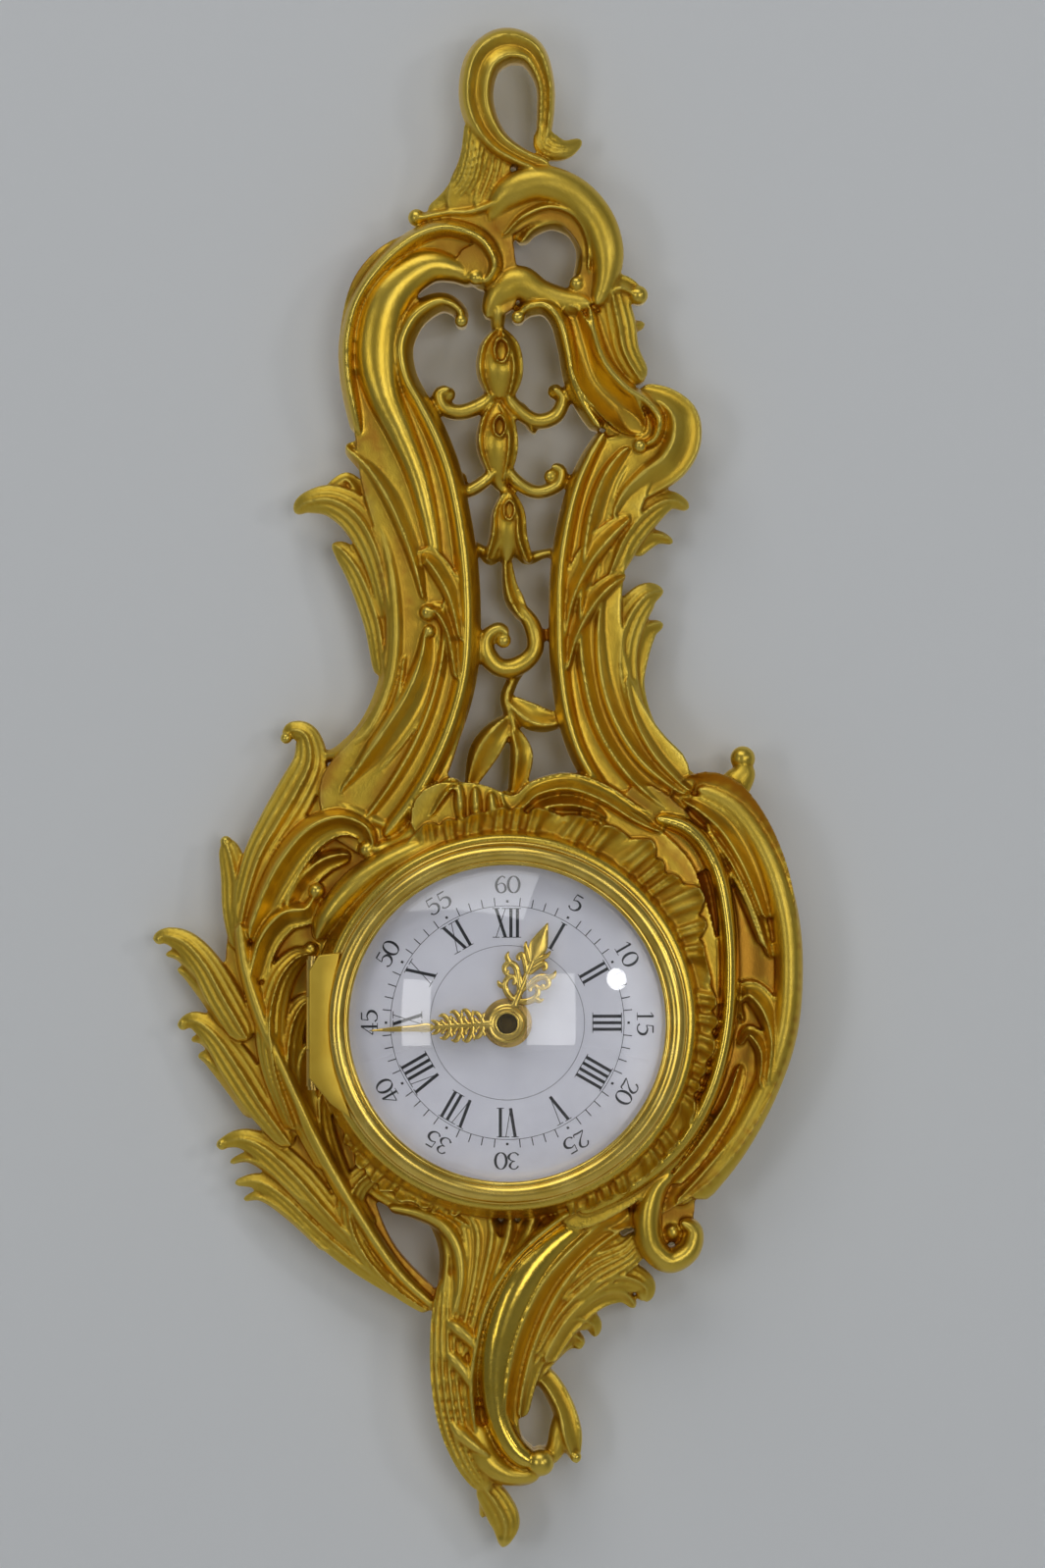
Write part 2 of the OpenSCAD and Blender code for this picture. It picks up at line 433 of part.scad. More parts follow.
module body_casting() color(gold) difference() {
    union() {
        rotate_extrude($fn = 60) polygon([[case_bore_r - gap, casting_back], [join_r, casting_back],
            [join_r, seat_depth - ring_fall], [bezel_r + ring_land, seat_depth - ring_ease],
            [bezel_r + ring_land / 2, seat_depth], [case_bore_r - gap, seat_depth]]);
        intersection() {
            linear_extrude(casting_top) body_field();
            union() {
                for (r = [c_floor, c_volute_floor, shell_floor]) band(r, slab, 1);
                band(c_swell, bead, 2);
                for (r = [shell_rim, c_fold, c_fold_low]) band(r, blade, 2);
                for (r = [shell_leaf, shell_left, c_fold_mid, c_shoulder]) band(r, blade, 1);
                for (r = [c_inner_rim, c_volute, c_top_volute]) band(r, rib, 2);
                for (a = [shell_start:-shell_step:shell_end]) shell_flute(a);
                for (k = body_knobs) knob([k[0], k[1]], k[2], k[3]);
            }
        }
    }
    casting_cuts();
}
body_knobs = [[686, 1258, 10, 15], [758, 773, 13, 15.5]];

// Ring round the dial: its flat land, and how far its outer slope falls
ring_land = 2;
ring_ease = 0.6;
ring_fall = 4;
// Shell border: angles of its first and last flutes, their spacing, and the floor behind them
shell_start = 112;
shell_end = -62;
shell_step = 9;
shell_floor_r = 215;
shell_floor_w = 34;
shell_floor_front = 18;
shell_floor = [for (a = [shell_start + shell_step / 2:-shell_step:shell_end - shell_step])
    [grid_axis[0] + shell_floor_r * cos(a), grid_axis[1] - shell_floor_r * sin(a), shell_floor_w,
        shell_floor_front]];
// Reach of the border from the dial axis by angle, and the stations of a flute:
// each [share of that reach, half width, front depth]
shell_root_r = 186;
shell_reach = [[-72, 205], [-30, 210], [0, 211], [30, 220], [45, 234], [60, 239], [90, 233], [119, 219]];
flute_stations = [[0, 14, 22.5], [0.5, 16, 23.4], [1, 15, 23.6]];
module shell_flute(a) {
    reach = lookup(a, shell_reach) - shell_root_r;
    hull() band([for (f = flute_stations) let (r = shell_root_r + reach * f[0])
        [grid_axis[0] + r * cos(a), grid_axis[1] - r * sin(a), f[1], f[2]]], bead, 1);
}

module acanthus_casting() color(gold) intersection() {
    linear_extrude(casting_top) spray_field();
    difference() {
        union() {
            for (r = [spray_floor, spray_web]) band(r, slab, 1);
            for (r = concat([spray_top, spray_lobe], spray_leaves)) band(r, blade, 2);
            for (r = concat([spray_lobe_low], spray_leaflets)) band(r, blade, 1);
            band(spray_midrib, bead, 2);
            for (r = [spray_hook, spray_shoulder]) band(r, rib, 2);
            for (k = spray_knobs) knob([k[0], k[1]], k[2], k[3]);
        }
        casting_cuts();
    }
}
spray_knobs = [[322, 908, 8, 21], [290, 752, 6, 12], [228, 858, 6, 11], [160, 958, 6, 10],
    [184, 1046, 6, 10], [224, 1169, 6, 10], [374, 866, 9, 20], [316, 968, 7, 16]];

module tail_casting() color(gold) intersection() {
    linear_extrude(casting_top) tail_field();
    difference() {
        union() {
            band(tail_floor, slab, 1);
            for (r = concat([tail_left, tail_tip, tail_twig], tail_leaves)) band(r, blade, 2);
            for (r = [tail_web, tail_rib, tail_right, tail_fan]) band(r, blade, 1);
            band(tail_swell, bead, 2);
            for (r = [tail_rim, tail_barb]) band(r, rib, 2);
            for (k = tail_knobs) knob([k[0], k[1]], k[2], k[3]);
        }
        casting_cuts();
    }
}
tail_knobs = [[551, 1491, 14, 23], [656, 1322, 7, 13], [605, 1352, 6, 13], [590, 1374, 5, 12],
    [587, 1488, 6, 15], [514, 1572, 8, 13], [478, 1256, 10, 17], [536, 1402, 9, 18]];

// Fasteners
screw_r = 1.5;
screw_hole_r = screw_r + seat_gap;
screw_head_r = 2.8;
screw_head_h = 1.5;
slot_share = 0.26;
drum_screw_angles = [35, 145, 265];
drum_ear_w = 8;
drum_ear_t = 1.6;
drum_screw_grip = 7;

// Slotted screw along +z with its head's underside at z = 0
module screw(grip) {
    difference() {
        translate([0, 0, -screw_head_h]) cylinder(h = screw_head_h, r = screw_head_r, $fn = 24);
        translate([-screw_head_r, -screw_head_r * slot_share / 2, -screw_head_h])
            cube([screw_head_r * 2, screw_head_r * slot_share, screw_head_h / 2]);
    }
    cylinder(h = grip, r = screw_r, $fn = 24);
}

// Drum, rear cover and the turned ring that carries the dial
flange_t = 1.4;
flange_in = 0.4;
flange_r = bezel_r - flange_in;
dial_lap = 1;
dial_r = dial_view_r + dial_lap;
dial_sink = 0.7;
dial_back = seat_depth - dial_sink;
ledge_w = 2;
ledge_r = dial_r - ledge_w;
ledge_t = 1.2;
spigot_h = 7.5;
drum_front = seat_depth - spigot_h;
drum_ease = 0.2;
drum_r = ring_r - drum_ease;
drum_rear = 1.6;
ear_reach = 4.4;
drum_ear_r = drum_r + ear_reach;
cover_t = 1;
cover_lap = 3.6;
cover_r = drum_r + gap + cover_t;
foot_r = 0.8;
foot_in = 1;
foot_len = 3;
foot_angles = [30, 150, 270];
module dial_ring() color(brass) difference() {
    rotate_extrude($fn = 96) polygon([[ring_r, drum_front], [ring_r, seat_depth],
        [flange_r, seat_depth], [flange_r, seat_depth + flange_t],
        [dial_r + seat_gap, seat_depth + flange_t], [dial_r + seat_gap, dial_back],
        [ledge_r, dial_back], [ledge_r, dial_back - ledge_t],
        [ring_r - drum_wall, dial_back - ledge_t], [ring_r - drum_wall, drum_front]]);
    for (a = foot_angles)
        rotate(a) translate([dial_r - foot_in, 0, dial_back - ledge_t - over])
            cylinder(h = ledge_t + over * 2, r = foot_r + seat_gap, $fn = 24);
}
module movement_drum() color(brass) difference() {
    union() {
        translate([0, 0, drum_rear]) cylinder(h = drum_front - drum_rear, r = drum_r, $fn = 96);
        for (a = drum_screw_angles)
            rotate(a) translate([drum_r - drum_wall, -drum_ear_w / 2, casting_back - drum_ear_t])
                cube([drum_ear_r + drum_ear_w / 2 - drum_r + drum_wall, drum_ear_w, drum_ear_t]);
    }
    translate([0, 0, drum_rear])
        cylinder(h = drum_front - drum_rear, r = drum_r - drum_wall, $fn = 96);
    for (a = drum_screw_angles)
        rotate(a) translate([drum_ear_r, 0, casting_back - drum_ear_t])
            cylinder(h = drum_ear_t, r = screw_hole_r, $fn = 24);
}
module drum_screws() color(brass)
    for (a = drum_screw_angles)
        rotate(a) translate([drum_ear_r, 0, casting_back - drum_ear_t])
            screw(drum_ear_t + drum_screw_grip);
module rear_cover() color(brass) difference() {
    cylinder(h = cover_lap, r = cover_r, $fn = 96);
    translate([0, 0, cover_t]) cylinder(h = cover_lap - cover_t, r = drum_r + gap, $fn = 96);
}

// Strap behind the crest, with the nail hole
strap_w = 12;
strap_t = 1.5;
strap_half = 16;
strap_gap_half = 6.5;
strap_screw_x = 11.5;
strap_screw_grip = 6;
module strap_plate(x0, x1, z0, z1) translate([x0, hang_up - strap_w / 2, z0])
    cube([x1 - x0, strap_w, z1 - z0]);
module hanging_strap() color(brass) difference() {
    union() {
        strap_plate(-strap_gap_half - strap_t, strap_gap_half + strap_t, 0, strap_t);
        for (s = [-1, 1]) {
            strap_plate(min(s * strap_gap_half, s * (strap_gap_half + strap_t)),
                max(s * strap_gap_half, s * (strap_gap_half + strap_t)), 0, casting_back);
            strap_plate(min(s * strap_gap_half, s * strap_half),
                max(s * strap_gap_half, s * strap_half), casting_back - strap_t, casting_back);
        }
    }
    translate([0, hang_up, 0]) cylinder(h = strap_t, r = nail_hole_d / 2, $fn = 32);
    for (s = [-1, 1])
        translate([s * strap_screw_x, hang_up, casting_back - strap_t])
            cylinder(h = strap_t, r = screw_hole_r, $fn = 24);
}
module strap_screws() color(brass)
    for (s = [-1, 1])
        translate([s * strap_screw_x, hang_up, casting_back - strap_t])
            screw(strap_t + strap_screw_grip);

// Dial: convex enamel on copper, with three feet pinned through the ledge of the ring
dial_boss_r = 8;
dial_steps = 10;
bush_r = bush_d / 2;
dial_front = dial_back + dial_t + dial_rise;
module enamel_dial() color("#f4f1e8")
    rotate_extrude($fn = 96) polygon(concat([[bush_r + gap, dial_back], [dial_r, dial_back]],
        [for (i = [0:dial_steps])
            let (r = dial_r + (dial_boss_r - dial_r) * i / dial_steps,
                s = (r - dial_boss_r) / (dial_r - dial_boss_r))
            [r, dial_front - dial_rise * s * s]],
        [[bush_r + gap, dial_front]]));
module dial_feet() color("#b06a3b")
    for (a = foot_angles)
        rotate(a) translate([dial_r - foot_in, 0, dial_back - foot_len])
            cylinder(h = foot_len, r = foot_r, $fn = 24);

// Hinge of the bezel: an upright barrel on the left of the dial
hinge_out = 3;
hinge_x = -(bezel_r + hinge_out);
hinge_rise = 3.6;
hinge_z = seat_depth + hinge_rise;
hinge_len = 34;
hinge_mid_len = 14;
knuckle_r = 2.1;
pin_r = 1;
knuckle_bore_r = pin_r + running;
pin_head_r = 1.7;
pin_head_h = 1;
knuckle_web = 1.2;
knuckle_lap = 1;
bracket_t = 1.4;
bracket_in = -(case_bore_r + gap);
pocket_reach = 8;
bracket_lap = 2.2;
bracket_out = hinge_x - bracket_lap;
bracket_screw_in = 0.6;
bracket_screw_x = -(bezel_r - bracket_screw_in);
bracket_screw_y = 12;
bracket_screw_r = 1;
bracket_head_r = 1.8;
bracket_head_h = 0.9;
bracket_screw_grip = 6;
outer_len = (hinge_len - hinge_mid_len) / 2 - gap;
outer_mid = (hinge_mid_len / 2 + gap + hinge_len / 2) / 2;
module barrel(len, r) rotate([90, 0, 0]) cylinder(h = len, r = r, center = true, $fn = 32);
module hinge_pocket() translate([bracket_out - gap, -hinge_len / 2 - gap, seat_depth - bracket_t]) {
    cube([bracket_in - bracket_out + gap + pocket_reach, hinge_len + gap * 2, casting_top]);
    for (s = [-1, 1])
        translate([bracket_screw_x - bracket_out + gap, hinge_len / 2 + gap + s * bracket_screw_y,
                -bracket_screw_grip])
            cylinder(h = bracket_screw_grip, r = bracket_screw_r + seat_gap, $fn = 16);
}
module hinge_bracket() color(brass) difference() {
    union() {
        translate([bracket_out, -hinge_len / 2, seat_depth - bracket_t])
            cube([bracket_in - bracket_out, hinge_len, bracket_t]);
        for (s = [-1, 1]) translate([hinge_x, s * outer_mid, 0]) {
            translate([0, 0, hinge_z]) barrel(outer_len, knuckle_r);
            translate([-knuckle_web, -outer_len / 2, seat_depth - bracket_t])
                cube([knuckle_web * 2, outer_len, hinge_z - seat_depth + bracket_t]);
        }
    }
    translate([hinge_x, 0, hinge_z]) barrel(hinge_len, knuckle_bore_r);
    for (s = [-1, 1]) translate([bracket_screw_x, s * bracket_screw_y, seat_depth]) {
        translate([0, 0, -bracket_head_h - seat_gap])
            cylinder(h = bracket_head_h + seat_gap, r = bracket_head_r + seat_gap, $fn = 24);
        translate([0, 0, -bracket_t])
            cylinder(h = bracket_t, r = bracket_screw_r + seat_gap, $fn = 24);
    }
}
module bracket_screws() color(brass)
    for (s = [-1, 1]) translate([bracket_screw_x, s * bracket_screw_y, seat_depth]) {
        translate([0, 0, -bracket_head_h - seat_gap])
            cylinder(h = bracket_head_h, r = bracket_head_r, $fn = 24);
        translate([0, 0, -bracket_t - bracket_screw_grip + gap])
            cylinder(h = bracket_t + bracket_screw_grip - gap - bracket_head_h,
                r = bracket_screw_r, $fn = 24);
    }
module hinge_pin() color(brass) translate([hinge_x, 0, hinge_z]) {
    barrel(hinge_len, pin_r);
    for (s = [-1, 1]) translate([0, s * (hinge_len + pin_head_h) / 2, 0]) barrel(pin_head_h, pin_head_r);
}

// Bezel with its hinge wing, and the domed glass held in it from behind
bezel_back = seat_depth + flange_t + gap;
bezel_front = bezel_back + bezel_h;
glass_lap = 1.5;
glass_edge_r = dial_view_r + glass_lap;
glass_seat = 3;
glass_back = bezel_back + glass_seat;
lip_back = glass_back + glass_t + seat_gap;
dome_r = dial_view_r - gap;
dome_steps = 16;
dome_foot = 0.4;
retainer_lap = 0.9;
retainer_r = glass_edge_r + retainer_lap;
retainer_show = 0.4;
retainer_in_r = dial_view_r + retainer_show;
retainer_set = 0.9;
retainer_back = bezel_back + retainer_set;
wing_t = 1.3;
wing_clear = 0.4;
wing_z = hinge_z + knuckle_r + wing_clear;
wing_over = 1;
wing_len = hinge_len + wing_over;
wing_out = 1.8;
wing_in = 5.2;
wing_round = 3;
sphere_r = (dome_r * dome_r + glass_rise * glass_rise) / (2 * glass_rise);
// Moulding of the bezel from its outer edge: share of the width inwards, share of the height
moulding = [[0.06, 0], [0, 0.07], [0, 0.29], [0.14, 0.41], [0.14, 0.47], [0.18, 0.68], [0.29, 0.87],
    [0.45, 0.97], [0.57, 1], [0.69, 0.95], [0.75, 0.83], [0.82, 0.86], [0.91, 0.82], [1, 0.71]];
module bezel() color(gold) difference() {
    union() {
        rotate_extrude($fn = 120) polygon(concat([[retainer_r + seat_gap, bezel_back]],
            [for (m = moulding) [bezel_r - bezel_w * m[0], bezel_back + bezel_h * m[1]]],
            [[dial_view_r, lip_back], [glass_edge_r + seat_gap, lip_back],
                [glass_edge_r + seat_gap, glass_back], [retainer_r + seat_gap, glass_back]]));
        translate([hinge_x, 0, hinge_z]) barrel(hinge_mid_len, knuckle_r);
        translate([hinge_x, -hinge_mid_len / 2, hinge_z - knuckle_web / 2])
            cube([hinge_out + knuckle_lap, hinge_mid_len, knuckle_web]);
        translate([hinge_x - wing_out, -wing_len / 2, wing_z])
            cube([wing_out + wing_in, wing_len, wing_t]);
        translate([hinge_x - knuckle_web, -hinge_mid_len / 2, hinge_z])
            cube([knuckle_web * 2, hinge_mid_len, wing_z - hinge_z + wing_t / 2]);
    }
    translate([hinge_x, 0, hinge_z]) barrel(hinge_mid_len, knuckle_bore_r);
    for (s = [-1, 1]) translate([hinge_x - wing_out, s * wing_len / 2, wing_z])
        rotate(45) translate([-wing_round / 2, -wing_round / 2, -seat_gap])
            cube([wing_round, wing_round, wing_t + seat_gap * 2]);
}
module glass() color("#dfe8ea", 0.35) rotate_extrude($fn = 96) polygon(concat(
    [for (i = [0:dome_steps]) let (r = (dome_r - glass_t * dome_foot) * i / dome_steps)
        [r, glass_back + sqrt(pow(sphere_r - glass_t, 2) - r * r) + glass_rise - sphere_r + glass_t]],
    [[dome_r, glass_back], [glass_edge_r, glass_back], [glass_edge_r, glass_back + glass_t]],
    [for (i = [dome_steps:-1:0]) let (r = dome_r * i / dome_steps)
        [r, glass_back + glass_t + sqrt(sphere_r * sphere_r - r * r) + glass_rise - sphere_r]]));
module glass_retainer() color(brass) rotate_extrude($fn = 96)
    polygon([[retainer_in_r, retainer_back], [retainer_r, retainer_back],
        [retainer_r, glass_back], [retainer_in_r, glass_back]]);

// Movement: a square battery movement clamped to the dial by its threaded bush
washer_t = 2.6;
washer_r = 9;
front_washer_t = 0.5;
front_washer_r = 6.6;
nut_t = 1.5;
nut_flat = 11;
bush_proud = 0.2;
mv_front = dial_back - washer_t;
front_case_h = 8.2;
mv_split = mv_front - front_case_h;
back_case_h = 8.5;
mv_back = mv_split - back_case_h;
mv_half = movement_w / 2;
mv_floor = mv_back + movement_wall;
bush_front = dial_front + front_washer_t + nut_t + bush_proud;
arbor_r = 1.6;
pipe_r = 2.6;
pipe_bore_r = arbor_r + running;
hour_hand_clear = 0.5;
hour_hand_z = bush_front + hour_hand_clear;
pipe_front = hour_hand_z + hand_t + gap;
minute_hand_z = pipe_front + gap;
hub_r = 4.6;
minute_hub_r = 5.2;
nut_front_h = 2.3;
nut_recess = 0.9;
nut_rim = 0.8;
hand_nut_r = 3.6;
arbor_front = minute_hand_z + hand_t + nut_front_h - nut_rim;

// Gear train: 12 to 36 teeth and 12 to 48 teeth give the hour hand a twelfth of the minute hand
gear_distance = 12;
fine_module = 0.4;
coarse_module = 0.5;
pinion_teeth = 12;
minute_wheel_teeth = 36;
hour_wheel_teeth = 48;
pressure_angle = 20;
tooth_thin = 0.18;
wheel_addendum = 0.7;
pinion_addendum = 0.9;
dedendum = 1.2;
wheel_angle = 90;
knob_angle = 30;
wheel_at = [cos(wheel_angle), sin(wheel_angle)] * gear_distance;
knob_at = wheel_at + [cos(knob_angle), sin(knob_angle)] * gear_distance;
function involute(a) = (tan(a) - a * PI / 180) * 180 / PI;
function flank(z, m, r) = let (base = z * m / 2 * cos(pressure_angle))
    90 / z * (1 - tooth_thin) + involute(pressure_angle) - involute(acos(min(1, base / r)));
module gear(z, m, addendum, phase, h, bore) difference() {
    rp = z * m / 2;
    base = rp * cos(pressure_angle);
    root = rp - dedendum * m;
    tip = rp + addendum * m;
    low = max(base, root);
    mid = (low + tip) / 2;
    linear_extrude(h) rotate(phase) polygon([for (i = [0:z - 1], p = [[root, -1, low], [low, -1, low],
            [mid, -1, mid], [tip, -1, tip], [tip, 1, tip], [mid, 1, mid], [low, 1, low], [root, 1, low]])
        let (a = i * 360 / z + p[1] * flank(z, m, p[2])) p[0] * [cos(a), sin(a)]]);
    cylinder(h = h, r = bore, $fn = 32);
}
motor_foot = 1;
motor_z = mv_floor + motor_foot;
motor_h = 5;
cannon_rise = 2.6;
cannon_z = motor_z + motor_h + cannon_rise;
cannon_h = 1.8;
minute_wheel_clear = 0.2;
minute_wheel_z = cannon_z + minute_wheel_clear;
minute_wheel_h = 1;
wheel_pinion_h = 3;
hour_wheel_clear = 1.6;
hour_wheel_z = minute_wheel_z + minute_wheel_h + hour_wheel_clear;
hour_wheel_h = 1;
stud_r = 0.9;
stud_tip = 0.4;
arbor_in = 0.4;
stem_share = 0.8;
knob_stem_r = 1.5;
knob_r = 5.5;
knob_h = 2.2;
knob_gap = 0.6;
knob_z = mv_back - knob_gap - knob_h;
knob_flutes = 12;
knob_flute_r = 0.6;
module minute_arbor() color(brass) {
    translate([0, 0, motor_z + arbor_in])
        cylinder(h = arbor_front - motor_z - arbor_in, r = arbor_r, $fn = 32);
    translate([0, 0, cannon_z]) gear(pinion_teeth, coarse_module, pinion_addendum, wheel_angle,
        cannon_h, arbor_r * stem_share);
}
module hour_wheel() color(brass) difference() {
    union() {
        translate([0, 0, hour_wheel_z]) gear(hour_wheel_teeth, fine_module, wheel_addendum,
            wheel_angle + 180 / hour_wheel_teeth, hour_wheel_h, pipe_bore_r);
        translate([0, 0, hour_wheel_z]) cylinder(h = pipe_front - hour_wheel_z, r = pipe_r, $fn = 32);
    }
    translate([0, 0, hour_wheel_z]) cylinder(h = pipe_front - hour_wheel_z, r = pipe_bore_r, $fn = 32);
}
module minute_wheel() color("#e8e4d8") translate(wheel_at) {
    translate([0, 0, minute_wheel_z]) gear(minute_wheel_teeth, coarse_module, wheel_addendum,
        wheel_angle + 180 + 180 / minute_wheel_teeth, minute_wheel_h, stud_r + running);
    translate([0, 0, minute_wheel_z + minute_wheel_h]) gear(pinion_teeth, fine_module, pinion_addendum,
        wheel_angle + 180, wheel_pinion_h, stud_r + running);
}
module setting_knob() color("#e8e4d8") translate(knob_at) {
    translate([0, 0, cannon_z]) gear(pinion_teeth, coarse_module, pinion_addendum,
        knob_angle + 180, cannon_h, knob_stem_r * stem_share);
    translate([0, 0, knob_z + knob_h])
        cylinder(h = cannon_z + cannon_h - knob_z - knob_h, r = knob_stem_r, $fn = 32);
    translate([0, 0, knob_z]) difference() {
        cylinder(h = knob_h, r = knob_r, $fn = 48);
        for (i = [0:knob_flutes - 1]) rotate(i * 360 / knob_flutes) translate([knob_r, 0, 0])
            cylinder(h = knob_h, r = knob_flute_r, $fn = 16);
    }
}

// Movement case: two halves with the battery bay open to the rear
mv_in = mv_half - movement_wall;
battery_room = 0.7;
battery_y = battery_d / 2 + battery_room - mv_in;
battery_z = mv_back + battery_d / 2;
bay_room = 0.4;
bay_wall_y = battery_y + battery_d / 2 + bay_room;
bay_wall_t = 0.8;
motor_w = 22;
motor_down = 7;
motor_up = 5;
coil_rise = 3.6;
coil_at = [-19.5, 1.5, mv_floor + coil_rise];
coil_len = 17;
coil_r = 3.4;
bobbin_r = 4;
bobbin_t = 1;
bobbin_lug = 0.5;
board_leg = 0.2;
board_leg_r = 1.2;
board_leg_in = 2;
board_z = mv_floor + board_leg;
board_t = 1;
board_x = -25;
board_y = 12.5;
board_w = 29;
board_h = 12;
can_r = 1.5;
can_len = 8;
can_in = 8;
module movement_front_case() color("#2a2a2c") {
    difference() {
        union() {
            translate([-mv_half, -mv_half, mv_split])
                cube([movement_w, movement_w, mv_front - mv_split]);
            translate([0, 0, mv_front]) cylinder(h = bush_front - mv_front, r = bush_r, $fn = 48);
        }
        translate([-mv_in, -mv_in, mv_split])
            cube([mv_in * 2, mv_in * 2, mv_front - mv_split - movement_wall]);
        translate([0, 0, mv_split]) cylinder(h = bush_front - mv_split, r = pipe_r + running, $fn = 48);
    }
    translate([wheel_at[0], wheel_at[1], minute_wheel_z - stud_tip])
        cylinder(h = mv_front - movement_wall - minute_wheel_z + stud_tip * 2, r = stud_r, $fn = 32);
}
module movement_back_case() color("#2a2a2c") difference() {
    translate([-mv_half, -mv_half, mv_back]) cube([movement_w, movement_w, mv_split - mv_back]);
    translate([-mv_in, bay_wall_y + bay_wall_t, mv_floor])
        cube([mv_in * 2, mv_in - bay_wall_y - bay_wall_t, mv_split - mv_back]);
    translate([-mv_in, -mv_in, mv_back - over])
        cube([mv_in * 2, mv_in + bay_wall_y, mv_split - mv_back + over * 2]);
    translate([knob_at[0], knob_at[1], mv_back])
        cylinder(h = movement_wall, r = knob_stem_r + running, $fn = 32);
}
module stepper_motor() color("#8d8f93") difference() {
    union() {
        translate([-motor_w / 2, -motor_down, motor_z])
            cube([motor_w, motor_down + motor_up, motor_h]);
        translate([-motor_w / 2, -motor_down, mv_floor])
            cube([motor_w, motor_down, motor_z - mv_floor]);
    }
    translate([0, 0, motor_z]) cylinder(h = motor_h, r = arbor_r + running, $fn = 32);
}
module friction_spring() color("#b8bcc0") rotate_extrude($fn = 48)
    polygon([[arbor_r + running, cannon_z - seat_gap - spring_t],
        [arbor_r + running, cannon_z - seat_gap], [spring_r, motor_z + motor_h + spring_t],
        [spring_r, motor_z + motor_h]]);
spring_r = 3.4;
spring_t = 0.3;
module motor_coil() color("#b5652a") translate(coil_at) {
    rotate([90, 0, 0]) cylinder(h = coil_len, r = coil_r, center = true, $fn = 32);
    for (s = [-1, 1]) translate([-bobbin_r, s * (coil_len - bobbin_t) / 2 - bobbin_t / 2, -coil_rise])
        cube([bobbin_r * 2 + bobbin_lug, bobbin_t, coil_rise + bobbin_r]);
}
module circuit_board() color("#2f6b45") {
    translate([board_x, board_y, board_z]) cube([board_w, board_h, board_t]);
    for (x = [board_x + board_leg_in, board_x + board_w - board_leg_in])
        translate([x, board_y + board_h / 2, mv_floor])
            cylinder(h = board_leg, r = board_leg_r, $fn = 24);
}
module quartz_can() color("#c9ccd0")
    translate([board_x + can_in, board_y + board_h / 2, board_z + board_t + can_r])
        rotate([0, 90, 0]) cylinder(h = can_len, r = can_r, $fn = 32);
module battery() color("#3c4a5a") translate([-battery_len / 2, battery_y, battery_z])
    rotate([0, 90, 0]) {
        cylinder(h = battery_len - battery_cap_h, r = battery_d / 2, $fn = 48);
        cylinder(h = battery_len, r = battery_cap_r, $fn = 32);
    }
battery_cap_h = 1;
battery_cap_r = 2.75;
positive_bump_r = 2;
negative_bump_r = 3;
contact_t = 0.4;
contact_w = 9;
module contact(s, bump_r) translate([0, battery_y, battery_z]) {
    translate([s > 0 ? mv_in - contact_t : -mv_in, -contact_w / 2, -contact_w / 2])
        cube([contact_t, contact_w, contact_w]);
    translate([s > 0 ? battery_len / 2 : -mv_in + contact_t, 0, 0]) rotate([0, 90, 0])
        cylinder(h = mv_in - contact_t - battery_len / 2, r = bump_r, $fn = 32);
}
module positive_contact() color("#c9ccd0") contact(1, positive_bump_r);
module negative_contact() color("#c9ccd0") contact(-1, negative_bump_r);
module rubber_washer() color("#1f1f1f") difference() {
    translate([0, 0, mv_front]) cylinder(h = washer_t, r = washer_r, $fn = 48);
    translate([0, 0, mv_front]) cylinder(h = washer_t, r = bush_r + seat_gap, $fn = 48);
}
module brass_washer() color(brass) difference() {
    translate([0, 0, dial_front]) cylinder(h = front_washer_t, r = front_washer_r, $fn = 48);
    translate([0, 0, dial_front]) cylinder(h = front_washer_t, r = bush_r + seat_gap, $fn = 48);
}
module fixing_nut() color(brass) translate([0, 0, dial_front + front_washer_t]) difference() {
    cylinder(h = nut_t, r = nut_flat / sqrt(3), $fn = 6);
    cylinder(h = nut_t, r = bush_r + running, $fn = 48);
}

// Pierced hands: half outlines as [along, half width], and openings as [along, across, radius]
hour_outline = [[4.2, 1.6], [6.2, 1.1], [7.6, 3.2], [9.4, 4.4], [11.2, 4.8], [12.6, 6.4], [14.6, 6.7],
    [16.2, 5.4], [17.4, 3.6], [18.8, 3.9], [20.2, 3], [21.4, 1.2], [22.8, 2.3], [24.6, 1.9],
    [26.4, 0.9], [29, 0.15]];
hour_holes = [[9.6, 2.1, 1.1], [13.4, 2.9, 1.9], [15.4, 4.2, 0.5], [18.3, 1.9, 0.9]];
minute_outline = [[4.8, 1.5], [6.6, 1], [7.8, 2.6], [9.6, 3.9], [11.2, 3.4], [12.6, 4.4], [14.4, 3.9],
    [15.6, 2.2], [17.2, 2.8], [18.8, 2], [20.2, 0.9], [23.4, 0.8], [25, 1.4], [26.6, 0.8],
    [31, 0.6], [37, 0.15]];
minute_holes = [[9.4, 1.9, 1], [12.9, 2.2, 1.1], [17, 1.3, 0.7]];
hour_drawn_len = 29;
minute_drawn_len = 37;
hour_angle = -22;
minute_angle = 93;
module hand(outline, holes, stretch, hub, bore) difference() {
    union() {
        cylinder(h = hand_t, r = hub, $fn = 48);
        linear_extrude(hand_t) polygon(concat([for (p = outline) [-p[1], p[0] * stretch]],
            [for (i = [len(outline) - 1:-1:0]) [outline[i][1], outline[i][0] * stretch]]));
    }
    cylinder(h = hand_t, r = bore, $fn = 32);
    for (h = holes, s = [-1, 1])
        translate([s * h[1], h[0] * stretch, 0]) cylinder(h = hand_t, r = h[2], $fn = 16);
}
module hour_hand() color(gold) translate([0, 0, hour_hand_z]) rotate(hour_angle)
    hand(hour_outline, hour_holes, hour_hand_len / hour_drawn_len, hub_r, pipe_r + running);
